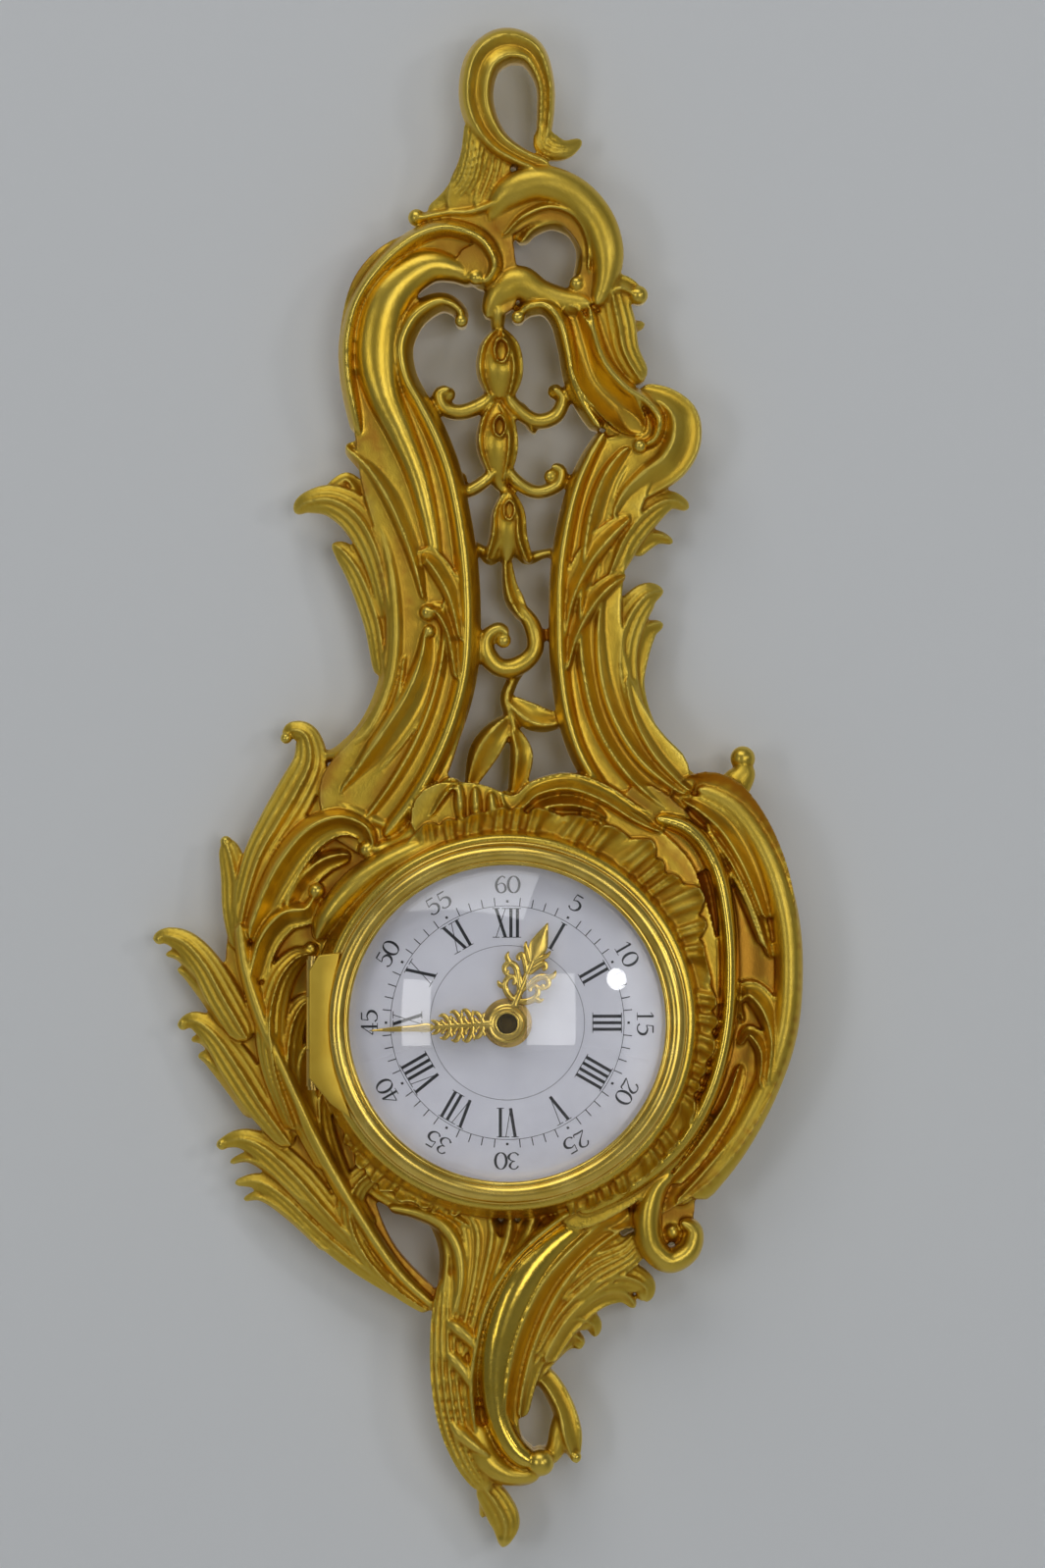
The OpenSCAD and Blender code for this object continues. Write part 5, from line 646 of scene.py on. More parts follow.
# tail casting: the S-scroll and leaves below the dial
tailRoutes = {
    "tailFloor": ("floor", 0.05, [(604, 1234, 46, 16), (562, 1278, 46, 16), (514, 1340, 44, 16),
        (492, 1400, 38, 16), (488, 1450, 34, 16), (500, 1488, 24, 16), (526, 1503, 14, 16), (548, 1503, 10, 16)]),
    "tailWeb": ("floor", 0.5, [(446, 1236, 18, 17), (480, 1256, 20, 18.4), (494, 1298, 27, 19.2),
        (480, 1348, 22, 19)]),
    "tailRim": ("rim", 0.7, [(624, 1212, 7, 21), (572, 1241, 8, 23), (527, 1280, 8, 23.5), (499, 1324, 8, 23.5),
        (486, 1368, 8, 22.5), (480, 1412, 8, 21.5), (484, 1460, 7, 20)]),
    "tailSwell": ("swell", 0.95, [(604, 1240, 12, 20), (562, 1270, 18, 22), (530, 1308, 21, 24),
        (511, 1354, 20, 24), (504, 1400, 17, 23), (508, 1446, 14, 22), (524, 1478, 13, 22), (544, 1492, 12, 22)]),
    "tailRight": ("leaf", 0.35, [(640, 1232, 10, 19), (600, 1264, 15, 21), (560, 1308, 17, 22.5),
        (534, 1360, 16, 22.5), (521, 1412, 13, 22), (519, 1452, 10, 21.5), (530, 1482, 7, 21)]),
    "tailLeft": ("fluted", 0.2, [(457, 1300, 9, 18), (456, 1345, 17, 19.5), (458, 1400, 20, 20),
        (465, 1450, 19, 19.5), (479, 1490, 16, 18.5), (498, 1520, 12, 16)]),
    "tailFan": ("fluted", 0.15, [(654, 1258, 11, 16), (640, 1278, 16, 17.5), (606, 1296, 20, 19),
        (574, 1324, 16, 19)]),
    "tailTip": ("veined", 0.2, [(490, 1514, 12, 17), (506, 1536, 16, 16), (515, 1558, 15, 15), (512, 1582, 4, 12)]),
    "tailBarb": ("leaf", 0.15, [(494, 1522, 7, 13), (491, 1552, 3, 11)]),
    "tailTwig": ("leaf", 0.25, [(538, 1396, 9, 16), (558, 1410, 11, 16), (574, 1438, 12, 16.5),
        (581, 1468, 13, 16.5), (588, 1495, 3, 13.5)]),
    "tailLeaf1": ("veined", 0.15, [(660, 1330, 5, 12), (657, 1312, 12, 15), (632, 1302, 17, 17.5),
        (600, 1312, 18, 19.5), (570, 1340, 16, 20.5), (548, 1380, 12, 20.5)]),
    "tailLeaf2": ("veined", 0.15, [(607, 1366, 4, 12), (604, 1352, 10, 15), (586, 1346, 14, 17.5),
        (564, 1362, 15, 19), (546, 1392, 12, 19.5)]),
    "tailLeaf3": ("leaf", 0.15, [(593, 1374, 3, 11), (574, 1374, 8, 14), (550, 1396, 9, 16)]),
    "tailFlute1": ("rim", 0.2, [(424, 1224, 9, 17), (446, 1246, 10, 18), (456, 1280, 9, 18.5),
        (450, 1326, 6, 18.5)]),
    "tailFlute2": ("rim", 0.2, [(442, 1229, 8, 17.5), (460, 1250, 9, 18.5), (466, 1290, 8, 19),
        (456, 1345, 5, 19)]),
    "tailFlute3": ("rim", 0.2, [(460, 1234, 8, 18), (473, 1256, 9, 19), (475, 1298, 8, 19.5),
        (463, 1358, 5, 19.5)]),
    "tailFlute4": ("rim", 0.2, [(478, 1238, 8, 18.5), (487, 1260, 9, 19.5), (483, 1306, 8, 20),
        (468, 1372, 5, 20)]),
    "tailFlute5": ("rim", 0.2, [(498, 1241, 9, 19), (501, 1262, 9, 20), (491, 1310, 8, 20.5), (473, 1382, 5, 20)]),
    "tailFlute6": ("rim", 0.2, [(520, 1242, 9, 19), (516, 1266, 9, 20.5), (500, 1312, 7, 21),
        (478, 1380, 5, 20.5)]),
    "tailFlute7": ("rim", 0.2, [(545, 1238, 10, 19), (534, 1264, 9, 21), (512, 1302, 7, 21.5), (488, 1360, 5, 21)]),
    "tailHook": ("swell", 0.45, [(484, 1452, 14, 19.5), (494, 1486, 15, 20), (518, 1504, 12, 20),
        (550, 1504, 8, 20)]),
    "tailBud1": ("swell", 0.35, [(452, 1346, 4, 19), (464, 1352, 9, 22), (478, 1364, 9, 22.5), (488, 1380, 4, 21)]),
    "tailBud2": ("swell", 0.35, [(450, 1376, 4, 19), (461, 1384, 9, 21.5), (473, 1398, 9, 22), (481, 1416, 4, 21)]),
    "tailRightLow": ("leaf", 0.25, [(632, 1258, 8, 18), (602, 1284, 13, 20), (574, 1320, 15, 21.5),
        (552, 1364, 13, 21.5), (538, 1408, 10, 21), (531, 1446, 7, 20.5)]),
    "tailBud3": ("swell", 0.3, [(456, 1446, 4, 19), (468, 1460, 9, 21.5), (484, 1474, 8, 21.5),
        (498, 1484, 4, 20.5)]),
    "tailLeafLow1": ("leaf", 0.15, [(648, 1336, 4, 12), (634, 1322, 9, 15), (608, 1326, 12, 17.5),
        (580, 1350, 12, 19.5), (556, 1390, 9, 20)]),
    "tailLeafLow2": ("leaf", 0.15, [(596, 1374, 4, 12), (582, 1366, 9, 15), (562, 1380, 10, 17.5),
        (544, 1404, 9, 18.5)]),
    "twigWeb": ("swell", 0.25, [(575, 1438, 8, 15), (570, 1460, 10, 15.5), (566, 1480, 10, 15.5),
        (554, 1494, 8, 15)]),
    "webBand": ("swell", 0.4, [(396, 1232, 6, 17), (424, 1236, 8, 19), (450, 1248, 9, 20), (466, 1272, 9, 20.5),
        (470, 1304, 8, 20.5), (464, 1338, 7, 20)]),
}
# eyes of the scrolls and pearls: across, down, radius, depth
scrollEyes = [(424, 219, 9, 15), (485, 282, 8, 19), (588, 287, 8, 17), (651, 299, 10, 17), (470, 326, 7, 19),
              (456, 400, 8, 14), (566, 397, 8, 14), (468, 487, 8, 14), (562, 484, 8, 14), (528, 322, 7, 18),
              (652, 454, 7, 21), (436, 624, 8, 20), (437, 643, 6, 20), (513, 652, 8, 16), (686, 1258, 10, 15),
              (758, 773, 13, 15.5), (322, 908, 8, 21), (290, 752, 6, 12), (228, 858, 6, 11), (160, 958, 6, 10),
              (184, 1046, 6, 10), (224, 1169, 6, 10), (374, 866, 9, 20), (316, 968, 7, 16), (551, 1491, 14, 23),
              (656, 1322, 7, 13), (605, 1352, 6, 13), (590, 1374, 5, 12), (587, 1488, 6, 15), (514, 1572, 8, 13),
              (478, 1256, 10, 17), (536, 1402, 9, 18)]
backWidth = 0.92  # a strand is a little narrower at its back


def crossSection(kind):
    # across from -1 to 1, up from 0 at the back to 1 at the front
    tops = {
        "rim": lambda u: 0.6 + 0.4 * math.cos(1.5 * u),
        "swell": lambda u: 0.66 + 0.34 * math.sqrt(1 - 0.96 * u * u),
        "leaf": lambda u: float(np.interp(u, [-1, -0.8, -0.55, -0.38, -0.2, 0.1, 0.45, 0.75, 0.92, 1],
                                          [0.58, 0.78, 0.94, 1, 0.94, 0.84, 0.77, 0.76, 0.79, 0.58])),
        "veined": lambda u: float(np.interp(abs(u), [0, 0.14, 0.3, 0.46, 0.62, 0.8, 0.92, 1],
                                            [1, 0.92, 0.84, 0.89, 0.8, 0.8, 0.78, 0.58])),
        "fluted": lambda u: 0.86 + 0.14 * (1 - u * u) + 0.05 * math.cos(6 * math.pi * u),
        "loop": lambda u: float(np.interp(u, [-1, -0.78, -0.5, -0.18, 0.05, 0.32, 0.6, 0.82, 1],
                                          [0.62, 0.9, 1, 0.9, 0.84, 0.9, 0.95, 0.86, 0.62])),
        "cove": lambda u: 0.62 + 0.38 * u * u,
        "floor": lambda u: 1.0,
    }
    count = {"fluted": 37, "leaf": 25, "veined": 25, "floor": 5}.get(kind, 17)
    return [(-backWidth, 0)] + [(u, tops[kind](u)) for u in np.linspace(-1, 1, count)] + [(backWidth, 0)]


shellBorder = {"start": 119, "end": -72, "root": 48.9, "rootDepth": 22.0, "rise": 2.4, "rib": 1.2, "curl": 3.0,
               "lobeAngle": 7.6, "ribs": 3, "turns": [-72, -36, -22, 0, 20, 28, 36, 43, 52, 62, 86, 119],
               "reach": [6.2, 7.9, 6.2, 7.8, 8.1, 11.4, 14.4, 12.0, 13.0, 11.5, 9.0, 8.0]}
lowBorder = {"start": -104, "end": -154, "root": 48.9, "rootDepth": 18.5, "rise": 1.6, "rib": 0.8, "curl": 1.6,
             "lobeAngle": 8.0, "ribs": 3, "turns": [-154, -130, -104], "reach": [4.0, 8.5, 5.0]}
# how both frills are crimped: shares of their width or lift, and pairs of a share and its waves along the frill
frillMake = {"gridAlong": 560, "gridOut": 20, "back": 8, "drift": ((0.35, 23), (0.22, 57)), "lean": 0.3,
             "ribDepth": 0.35, "ribGrowth": 2.5, "notch": 0.84, "lobeOut": 0.16, "lobeSwing": (0.4, 43),
             "edgeSwing": (0.05, 59), "curlFrom": 0.7, "curlWide": 0.3, "curlRest": 0.35,
             "polish": 0.1, "edgePolish": 0.3}


def addShellBorder(home, look):
    # a crimped shell frill round the dial: a grid bent to an arc, then thickened to the back
    make = frillMake
    part = bmesh.new()
    shine = part.verts.layers.float.new("polish")
    bmesh.ops.create_grid(part, x_segments=make["gridAlong"], y_segments=make["gridOut"], size=1)
    for vert in part.verts:
        s, t = (vert.co.x + 1) / 2, (vert.co.y + 1) / 2
        turn = look["start"] + (look["end"] - look["start"]) * s
        phase = turn / look["lobeAngle"]
        for share, waves in make["drift"]:
            phase += share * math.sin(s * waves)
        phase += make["lean"] * t
        lobe = abs(math.sin(math.pi * phase))
        rib = 2 * lobe - 1 + make["ribDepth"] * math.cos(2 * math.pi * phase * look["ribs"])
        uneven, fray = [share * math.sin(s * waves) for share, waves in (make["lobeSwing"], make["edgeSwing"])]
        wide = float(np.interp(turn, look["turns"], look["reach"]))
        reach = look["root"] + t * wide * (make["notch"] + make["lobeOut"] * lobe * (1 + uneven) + fray)
        edge = max(0.0, (t - make["curlFrom"]) / make["curlWide"]) ** 2
        depth = (look["rootDepth"] + look["rise"] * t + look["rib"] * rib * min(1, make["ribGrowth"] * t)
                 + look["curl"] * (lobe - make["curlRest"]) * edge)
        vert.co = onDial(reach * math.cos(math.radians(turn)), reach * math.sin(math.radians(turn)), depth)
        vert[shine] = make["polish"] + make["edgePolish"] * edge
    for vert in added(bmesh.ops.extrude_face_region(part, geom=part.faces[:]), bmesh.types.BMVert):
        vert.co.y = -make["back"] * mm
    bmesh.ops.recalc_face_normals(part, faces=part.faces)
    addTo(home, part)


# voxel in mm, rounds and share of smoothing, what the relief is measured over, how the plainer forms are polished
castingMake = {"voxel": 0.45, "smooth": 1, "smoothShare": 0.5, "fineRelief": 16, "broadRelief": 80, "fineShare": 0.6,
               "broadShare": 0.18, "finishFade": 5, "shadeBelowPolish": 0.5, "shellFloorDepth": 21.2, "floorPolish": 0.45,
               "eyePolish": 0.6, "ringPolish": 0.7, "mostTriangles": 195000}
# floor under the shell border: degrees round the axis, grid steps from it, half width
shellFloor = [(*onDrawing(turn, radius), half, castingMake["shellFloorDepth"]) for turn, radius, half in
              [(116, 216, 34), (107, 217, 36), (98, 212, 32), (89, 205, 25), (80, 213, 32), (72, 216, 35),
               (62, 215, 34), (53, 215, 34), (44, 215, 34), (35, 210, 30), (25, 205, 26)]
              + [(turn, 204, 22) for turn in range(15, -76, -9)]]
# ring that the bezel closes on, then the bore with the bezel's room: profiles of radius and depth
dialRing = [(45.3, 6), (53.4, 6), (53.4, 20), (51.6, 24), (50.9, 26.4), (50, 27.3), (45.3, 27.5)]
boreProfile = [(0, -2), (45.6, -2), (45.6, 27.5), (49.4, 27.5), (49.4, 60), (0, 60)]
hingePocket = ((-54.5, -17.3, 26.1), (-37.9, 17.3, 66))  # two corners: right, up, depth

stock = bmesh.new()
for name in ("polish", "warm"):
    stock.verts.layers.float.new(name)
for routes in (upperRoutes, bodyRoutes, acanthusRoutes, tailRoutes):
    for kind, polish, route in routes.values():
        shadedHollow = kind in ("floor", "cove") and polish < castingMake["shadeBelowPolish"]  # painted shade: the matt hollow floors are coloured darker and redder
        sweep(stock, fromDrawing(route), crossSection(kind), polish=polish, warm=shadedHollow)
sweep(stock, fromDrawing(shellFloor), crossSection("floor"), steps=4, polish=castingMake["floorPolish"])
for x, y, radius, front in fromDrawing(scrollEyes):
    ball(stock, x, y, radius, front, polish=castingMake["eyePolish"])
for look in (shellBorder, lowBorder):
    addShellBorder(stock, look)
lathe(stock, dialRing, polish=castingMake["ringPolish"])
print("ornament swept,", len(stock.verts), "points")


def treeOf(points):
    tree = KDTree(len(points))
    for i, point in enumerate(points):
        tree.insert(point, i)
    tree.balance()
    return tree


def smoothing(rounds):
    return "SMOOTH", {"factor": castingMake["smoothShare"], "iterations": rounds}


# how each strand is finished and which of its hollow floors get painted shade, to be carried over to the joined
# casting
finishAndShadeTree = treeOf([vert.co for vert in stock.verts])
finishAndShadeLayers = [stock.verts.layers.float[name] for name in ("polish", "warm")]
finishAndShadeValues = [[vert[layer] for layer in finishAndShadeLayers] for vert in stock.verts]
rough = newObject("ornamentStock", stock)
whole = reworked(rough.data, ("REMESH", {"mode": "VOXEL", "voxel_size": castingMake["voxel"] * mm}),
                 smoothing(castingMake["smooth"]))
print("castings joined,", len(whole.polygons), "faces")


def pointsOf(mesh):
    co = np.empty(len(mesh.vertices) * 3)
    mesh.vertices.foreach_get("co", co)
    return co.reshape(-1, 3)


def reliefOf(mesh, rounds):
    # how far the surface stands above its own smoothed form, mm
    soft = reworked(mesh, smoothing(rounds))
    normals = np.empty(len(mesh.vertices) * 3)
    mesh.vertex_normals.foreach_get("vector", normals)
    offset = ((pointsOf(mesh) - pointsOf(soft)) * normals.reshape(-1, 3)).sum(axis=1) / mm
    bpy.data.meshes.remove(soft)
    return offset


# 0.5 is level, less lies in a hollow, more stands out
# the gilt's colour is painted from it: painted shade in the hollows, painted highlight on the raised parts
relief = np.clip(0.5 + castingMake["fineShare"] * reliefOf(whole, castingMake["fineRelief"])
                 + castingMake["broadShare"] * reliefOf(whole, castingMake["broadRelief"]), 0, 1)
wholePoints = pointsOf(whole)
finishAndShade = np.array([finishAndShadeValues[finishAndShadeTree.find(p)[1]] for p in wholePoints])
ends = np.empty(len(whole.edges) * 2, int)
whole.edges.foreach_get("vertices", ends)
ends = ends.reshape(-1, 2)
for _ in range(castingMake["finishFade"]):  # the finish and the painted shade fade over a few tenths of a mm
    total, count = finishAndShade.copy(), np.ones((len(finishAndShade), 1))
    for a, b in ((0, 1), (1, 0)):
        np.add.at(total, ends[:, a], finishAndShade[ends[:, b]])
        np.add.at(count, ends[:, a], 1)
    finishAndShade = total / count
placeTree = treeOf(wholePoints)
print("finish worked out")

# seats cut into the joined castings: the bore, the room of the bezel and the hinge's pocket
seats = bmesh.new()
lathe(seats, boreProfile, turns=180)
boreTool = newObject("boreTool", seats)
pocket = bmesh.new()
block(pocket, *hingePocket)
pocketTool = newObject("pocketTool", pocket)
cutterMake = {"from": -3, "long": 70}  # mm, deeper than the castings


def prism(name, outline):
    # an outline on the drawing, as deep as the castings and more
    corners = [(x, y) for x, y, _, _ in fromDrawing([(*p, 0, 0) for p in outline])]
    return newObject(name, slab(corners, cutterMake["from"], cutterMake["long"]))


# lines where the castings are brazed to one another
neckJoint = [(331, 806), (392, 850), (440, 822), (470, 808), (520, 824), (560, 808), (610, 814), (655, 838),
             (700, 812), (728, 780), (760, 740)]
upperTool = prism("upperTool", neckJoint + [(1065, 740), (1065, -60), (0, -60), (0, 640), (331, 640)])
sprayArc = {"radius": 199.4, "turns": np.linspace(110.56, 249.44, 30)}  # where the spray ends at the dial's ring
sprayTool = prism("sprayTool", [(0, 640), (331, 640)] + neckJoint[:3] + [(447, 818.9)]
                  + [onDrawing(turn, sprayArc["radius"]) for turn in sprayArc["turns"]] + [(447, 1340), (0, 1340)])
tailTool = prism("tailTool", [(0, 1340), (447, 1340), (447, 1236), (488, 1238), (517, 1240.4), (546, 1238),
                              (570, 1236), (648, 1236), (642, 1258), (648, 1280), (664, 1296), (686, 1302),
                              (1065, 1302), (1065, 1660), (0, 1660)])


def cut(tool, way):
    return "BOOLEAN", {"object": tool, "operation": way, "solver": "MANIFOLD"}


def thinned(mesh):
    # flat backs and plain stretches give up faces until the casting is light enough
    mesh.calc_loop_triangles()
    share = min(1.0, castingMake["mostTriangles"] / len(mesh.loop_triangles))
    made = reworked(mesh, ("DECIMATE", {"ratio": share}))
    made.validate()  # drops the few faces that thinning doubles
    return made


def withoutCrumbs(mesh):
    # keeps the casting itself and drops the slivers that the cuts leave loose
    part = bmesh.new()
    part.from_mesh(mesh)
    left, islands = set(part.verts), []
    while left:
        island, front = [], [left.pop()]
        while front:
            vert = front.pop()
            island.append(vert)
            for other in [edge.other_vert(vert) for edge in vert.link_edges]:
                if other in left:
                    left.remove(other)
                    front.append(other)
        islands.append(island)
    islands.sort(key=len)
    bmesh.ops.delete(part, geom=[vert for island in islands[:-1] for vert in island], context="VERTS")
    part.to_mesh(mesh)
    part.free()
    return mesh


seated = reworked(whole, cut(boreTool, "DIFFERENCE"), cut(pocketTool, "DIFFERENCE"))
print("seats cut,", len(seated.polygons), "faces")
for name, node, cuts in (("upperCasting", "upper_casting", [cut(upperTool, "INTERSECT")]),
                         ("acanthusCasting", "acanthus_casting", [cut(sprayTool, "INTERSECT")]),
                         ("tailCasting", "tail_casting", [cut(tailTool, "INTERSECT")]),
                         ("bodyCasting", "body_casting", [cut(tool, "DIFFERENCE")
                                                          for tool in (upperTool, sprayTool, tailTool)])):
    mesh = withoutCrumbs(thinned(reworked(seated, *cuts)))
    near = [placeTree.find(p)[1] for p in pointsOf(mesh)]
    for key, values in (("relief", relief), ("polish", finishAndShade[:, 0]), ("warm", finishAndShade[:, 1])):
        if key in mesh.attributes:
            mesh.attributes.remove(mesh.attributes[key])
        mesh.attributes.new(key, "FLOAT", "POINT").data.foreach_set("value", values[near].astype(np.float32))
    piece = linkMesh(name, mesh, gilt, sharp=60)
    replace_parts(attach(piece, "case"), node)
    print(name, len(mesh.polygons), "faces")
for tool in (rough, boreTool, pocketTool, upperTool, sprayTool, tailTool):
    bpy.data.objects.remove(tool)

# bezel as radius and depth: foot, outer step, groove, broad torus, inner bead, rebate for the glass behind
# arcs: centre, radius, from and to in degrees, points; the hinge's leaf and post tie its knuckle to ring and wing
bezelShape = {"foot": [(45.0, 29.2), (48.6, 29.2), (48.9, 29.4)], "step": ((48.2, 31.1), 0.8, 0, 100, 7),
              "groove": (47.95, 32.0), "torus": ((45.75, 34.2), 2.5, -12, 192, 30),
              "bead": ((43.35, 34.85), 0.85, 62, 178, 12),
              "rebate": [(42.5, 33.8), (44.1, 33.8), (44.1, 32.2), (45.0, 32.2)],
              "hinge": (-52.0, 31.1), "bore": 1.05, "knuckle": 2.1, "halfLong": 7.0,
              "leaf": {"from": 0.7, "to": 4, "half": 0.6},
              "post": {"left": -0.4, "right": 1.2, "from": 0.8, "into": 0.5},
              "wing": [(-53.3, 14.2), (-50.6, 18.4), (-44.6, 19.2), (-46.2, 12.5), (-47.5, 5), (-47.5, -5),
                       (-46.2, -12.5), (-44.2, -18.6), (-41.6, -25.8), (-47.4, -21.6), (-53.3, -14.6)],
              "wingDepth": 33.6, "wingThick": 1.3, "wingRound": 0.6}


def arcPoints(centre, radius, start, end, count):
    return [(centre[0] + radius * math.cos(math.radians(a)), centre[1] + radius * math.sin(math.radians(a)))
            for a in np.linspace(start, end, count)]


def makeBezel():
    look = bezelShape
    part = bmesh.new()
    lathe(part, look["foot"] + arcPoints(*look["step"]) + [look["groove"]] + arcPoints(*look["torus"])
          + arcPoints(*look["bead"]) + look["rebate"], turns=220)
    hingeX, hingeDepth = look["hinge"]
    bore, knuckle, half = look["bore"], look["knuckle"], look["halfLong"]
    barrel = bmesh.new()  # middle knuckle, spun round the hinge pin
    corners = [(bore, -half), (knuckle, -half), (knuckle, half), (bore, half)]
    verts = [barrel.verts.new(onDial(hingeX + r, y, hingeDepth)) for r, y in corners]
    spun(barrel, verts, True, onDial(hingeX, 0, hingeDepth), (0, 0, 1), turns=40)
    addTo(part, barrel)
    leaf, post = look["leaf"], look["post"]
    block(part, (hingeX + knuckle * leaf["from"], -half, hingeDepth - leaf["half"]),
          (hingeX + leaf["to"], half, hingeDepth + leaf["half"]))
    block(part, (hingeX + post["left"], -half, hingeDepth + knuckle * post["from"]),
          (hingeX + post["right"], half, look["wingDepth"] + post["into"]))
    # flat wing over the hinge, its lower end drawn out along the bezel
    wing = slab(look["wing"], look["wingDepth"], look["wingThick"])
    middle = -(look["wingDepth"] + look["wingThick"] / 2) * mm
    rim = [e for e in wing.edges if all(v.co.y < middle for v in e.verts)]
    bmesh.ops.bevel(wing, geom=rim, offset=look["wingRound"] * mm, affect="EDGES", segments=4, profile=0.5,
                    material=-1)
    wingFaces = len(wing.faces)
    addTo(part, wing)
    piece = newObject("bezelRing", part, burnishedGilt, sharp=35)
    piece.data.materials.append(mattGilt)
    for face in piece.data.polygons[-wingFaces:]:
        face.material_index = 1
    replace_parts(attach(piece, "bezel"), "bezel")


makeBezel()

# a blown dome with a flat foot, of even thickness
glassShape = {"edge": 44.0, "dome": 42.2, "innerDome": 41.6, "back": 32.2, "thick": 1.5, "rise": 11.0, "steps": 40}


def domeDepth(r, radius, top):
    return top - radius + math.sqrt(radius ** 2 - r ** 2)


def makeGlass():
    look = glassShape
    back, thick, edge, dome, steps = [look[key] for key in ("back", "thick", "edge", "dome", "steps")]
    sphere = (dome ** 2 + look["rise"] ** 2) / (2 * look["rise"])
    top = back + look["rise"]
    inside = [(r, domeDepth(r, sphere - thick, top)) for r in np.linspace(0, look["innerDome"], steps)]
    outside = [(r, domeDepth(r, sphere, top + thick)) for r in np.linspace(dome, 0, steps)]
    part = bmesh.new()
    lathe(part, inside + [(dome, back), (edge, back), (edge, back + thick)] + outside, turns=192)
    piece = newObject("domedGlass", part, clockGlass, sharp=45)
    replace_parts(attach(piece, "bezel"), "glass")


makeGlass()

dialShape = {"radius": 43.5, "back": 26.8, "front": 29.2, "rise": 1.2, "boss": 8.0, "hole": 4.3, "steps": 36}


def dialDepth(r):
    share = max(0.0, (r - dialShape["boss"]) / (dialShape["radius"] - dialShape["boss"]))
    return dialShape["front"] - dialShape["rise"] * share ** 2


def makeDial():
    look = dialShape
    part = bmesh.new()
    lathe(part, [(look["hole"], look["back"]), (look["radius"], look["back"])]
          + [(r, dialDepth(r)) for r in np.linspace(look["radius"], look["hole"], look["steps"])], turns=192)
    piece = newObject("enamelDial", part, whiteEnamel, sharp=35)
    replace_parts(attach(piece, "case"), "enamel_dial")


makeDial()

# painted dial: roman hours, a minute track and arabic minutes, all set with their tops outwards
# sizes in mm; half widths of the strokes; places and weights of the minutes as shares of their width and height
printLook = {"sunk": 0.06, "proud": 0.05, "hourBase": 22.9, "hourHeight": 7.7, "bar": 0.42, "hair": 0.1,
             "serif": 0.95, "lean": 1.25, "trackIn": 31.3, "trackOut": 33.6, "trackLine": 0.07, "tick": 0.13,
             "dotAt": 32.5, "dot": 0.32, "innerCircle": 20.7, "innerLine": 0.055, "minuteBase": 34.8,
             "minuteHeight": 4.4, "minuteWide": 1.3, "digitStep": 0.6, "digitGap": 0.02, "digitWeight": 0.85}
hourWords = ["XII", "I", "II", "III", "IIII", "V", "VI", "VII", "VIII", "IX", "X", "XI"]
romanWidth = {"I": 1.75, "V": 3.7, "X": 3.7}
# strokes of a digit: across, up, half width
digitStrokes = {
    "0": [[(0.28 + 0.26 * math.sin(t), 0.5 - 0.5 * math.cos(t), 0.03 + 0.065 * abs(math.sin(t)))
           for t in np.linspace(0, 2 * math.pi, 15)]],
    "1": [[(0.28, 0, 0.08), (0.28, 1, 0.08)], [(0.1, 0.82, 0.03), (0.28, 1, 0.03)],
          [(0.1, 0, 0.025), (0.46, 0, 0.025)]],
    "2": [[(0.06, 0.74, 0.06), (0.14, 0.93, 0.05), (0.3, 1, 0.04), (0.46, 0.9, 0.07), (0.48, 0.72, 0.09),
           (0.36, 0.48, 0.05), (0.16, 0.22, 0.03), (0.04, 0.04, 0.03)],
          [(0.04, 0.04, 0.04), (0.3, 0.07, 0.06), (0.52, 0.05, 0.05), (0.56, 0.2, 0.02)]],
    "3": [[(0.06, 0.82, 0.06), (0.18, 0.98, 0.04), (0.36, 0.98, 0.04), (0.46, 0.8, 0.085), (0.36, 0.58, 0.04),
           (0.22, 0.53, 0.03)],
          [(0.22, 0.53, 0.03), (0.42, 0.46, 0.04), (0.52, 0.26, 0.095), (0.4, 0.05, 0.04), (0.2, 0.01, 0.04),
           (0.05, 0.16, 0.065)]],
    "4": [[(0.4, 0, 0.08), (0.4, 1, 0.08)], [(0.4, 1, 0.03), (0.02, 0.28, 0.03)],
          [(0.02, 0.28, 0.035), (0.56, 0.28, 0.035)], [(0.24, 0, 0.025), (0.56, 0, 0.025)]],
    "5": [[(0.12, 0.96, 0.05), (0.46, 0.96, 0.05)], [(0.13, 0.96, 0.03), (0.1, 0.55, 0.03)],
          [(0.1, 0.55, 0.03), (0.3, 0.63, 0.05), (0.5, 0.48, 0.09), (0.5, 0.22, 0.09), (0.34, 0.03, 0.05),
           (0.14, 0.03, 0.04), (0.04, 0.16, 0.065)]],
    "6": [[(0.48, 0.9, 0.06), (0.34, 1, 0.04), (0.14, 0.8, 0.075), (0.06, 0.45, 0.095), (0.14, 0.1, 0.07),
           (0.3, 0, 0.035), (0.46, 0.1, 0.07), (0.5, 0.3, 0.085), (0.42, 0.52, 0.05), (0.28, 0.58, 0.03),
           (0.12, 0.46, 0.03)]],
}
flatSection = [(-1, 0), (-1, 1), (1, 1), (1, 0)]


def printDepth(x, y, front, up):
    return dialDepth(math.hypot(x, y)) - printLook["sunk"] + (printLook["sunk"] + printLook["proud"]) * up


def stroke(home, points, clock, steps=1):
    # strokes are drawn upright at twelve and turned clockwise
    c, s = math.cos(math.radians(clock)), math.sin(math.radians(clock))
    sweep(home, [(x * c + y * s, y * c - x * s, half, 0) for x, y, half in points], flatSection, steps=steps,
          depthAt=printDepth, roundEnds=False)


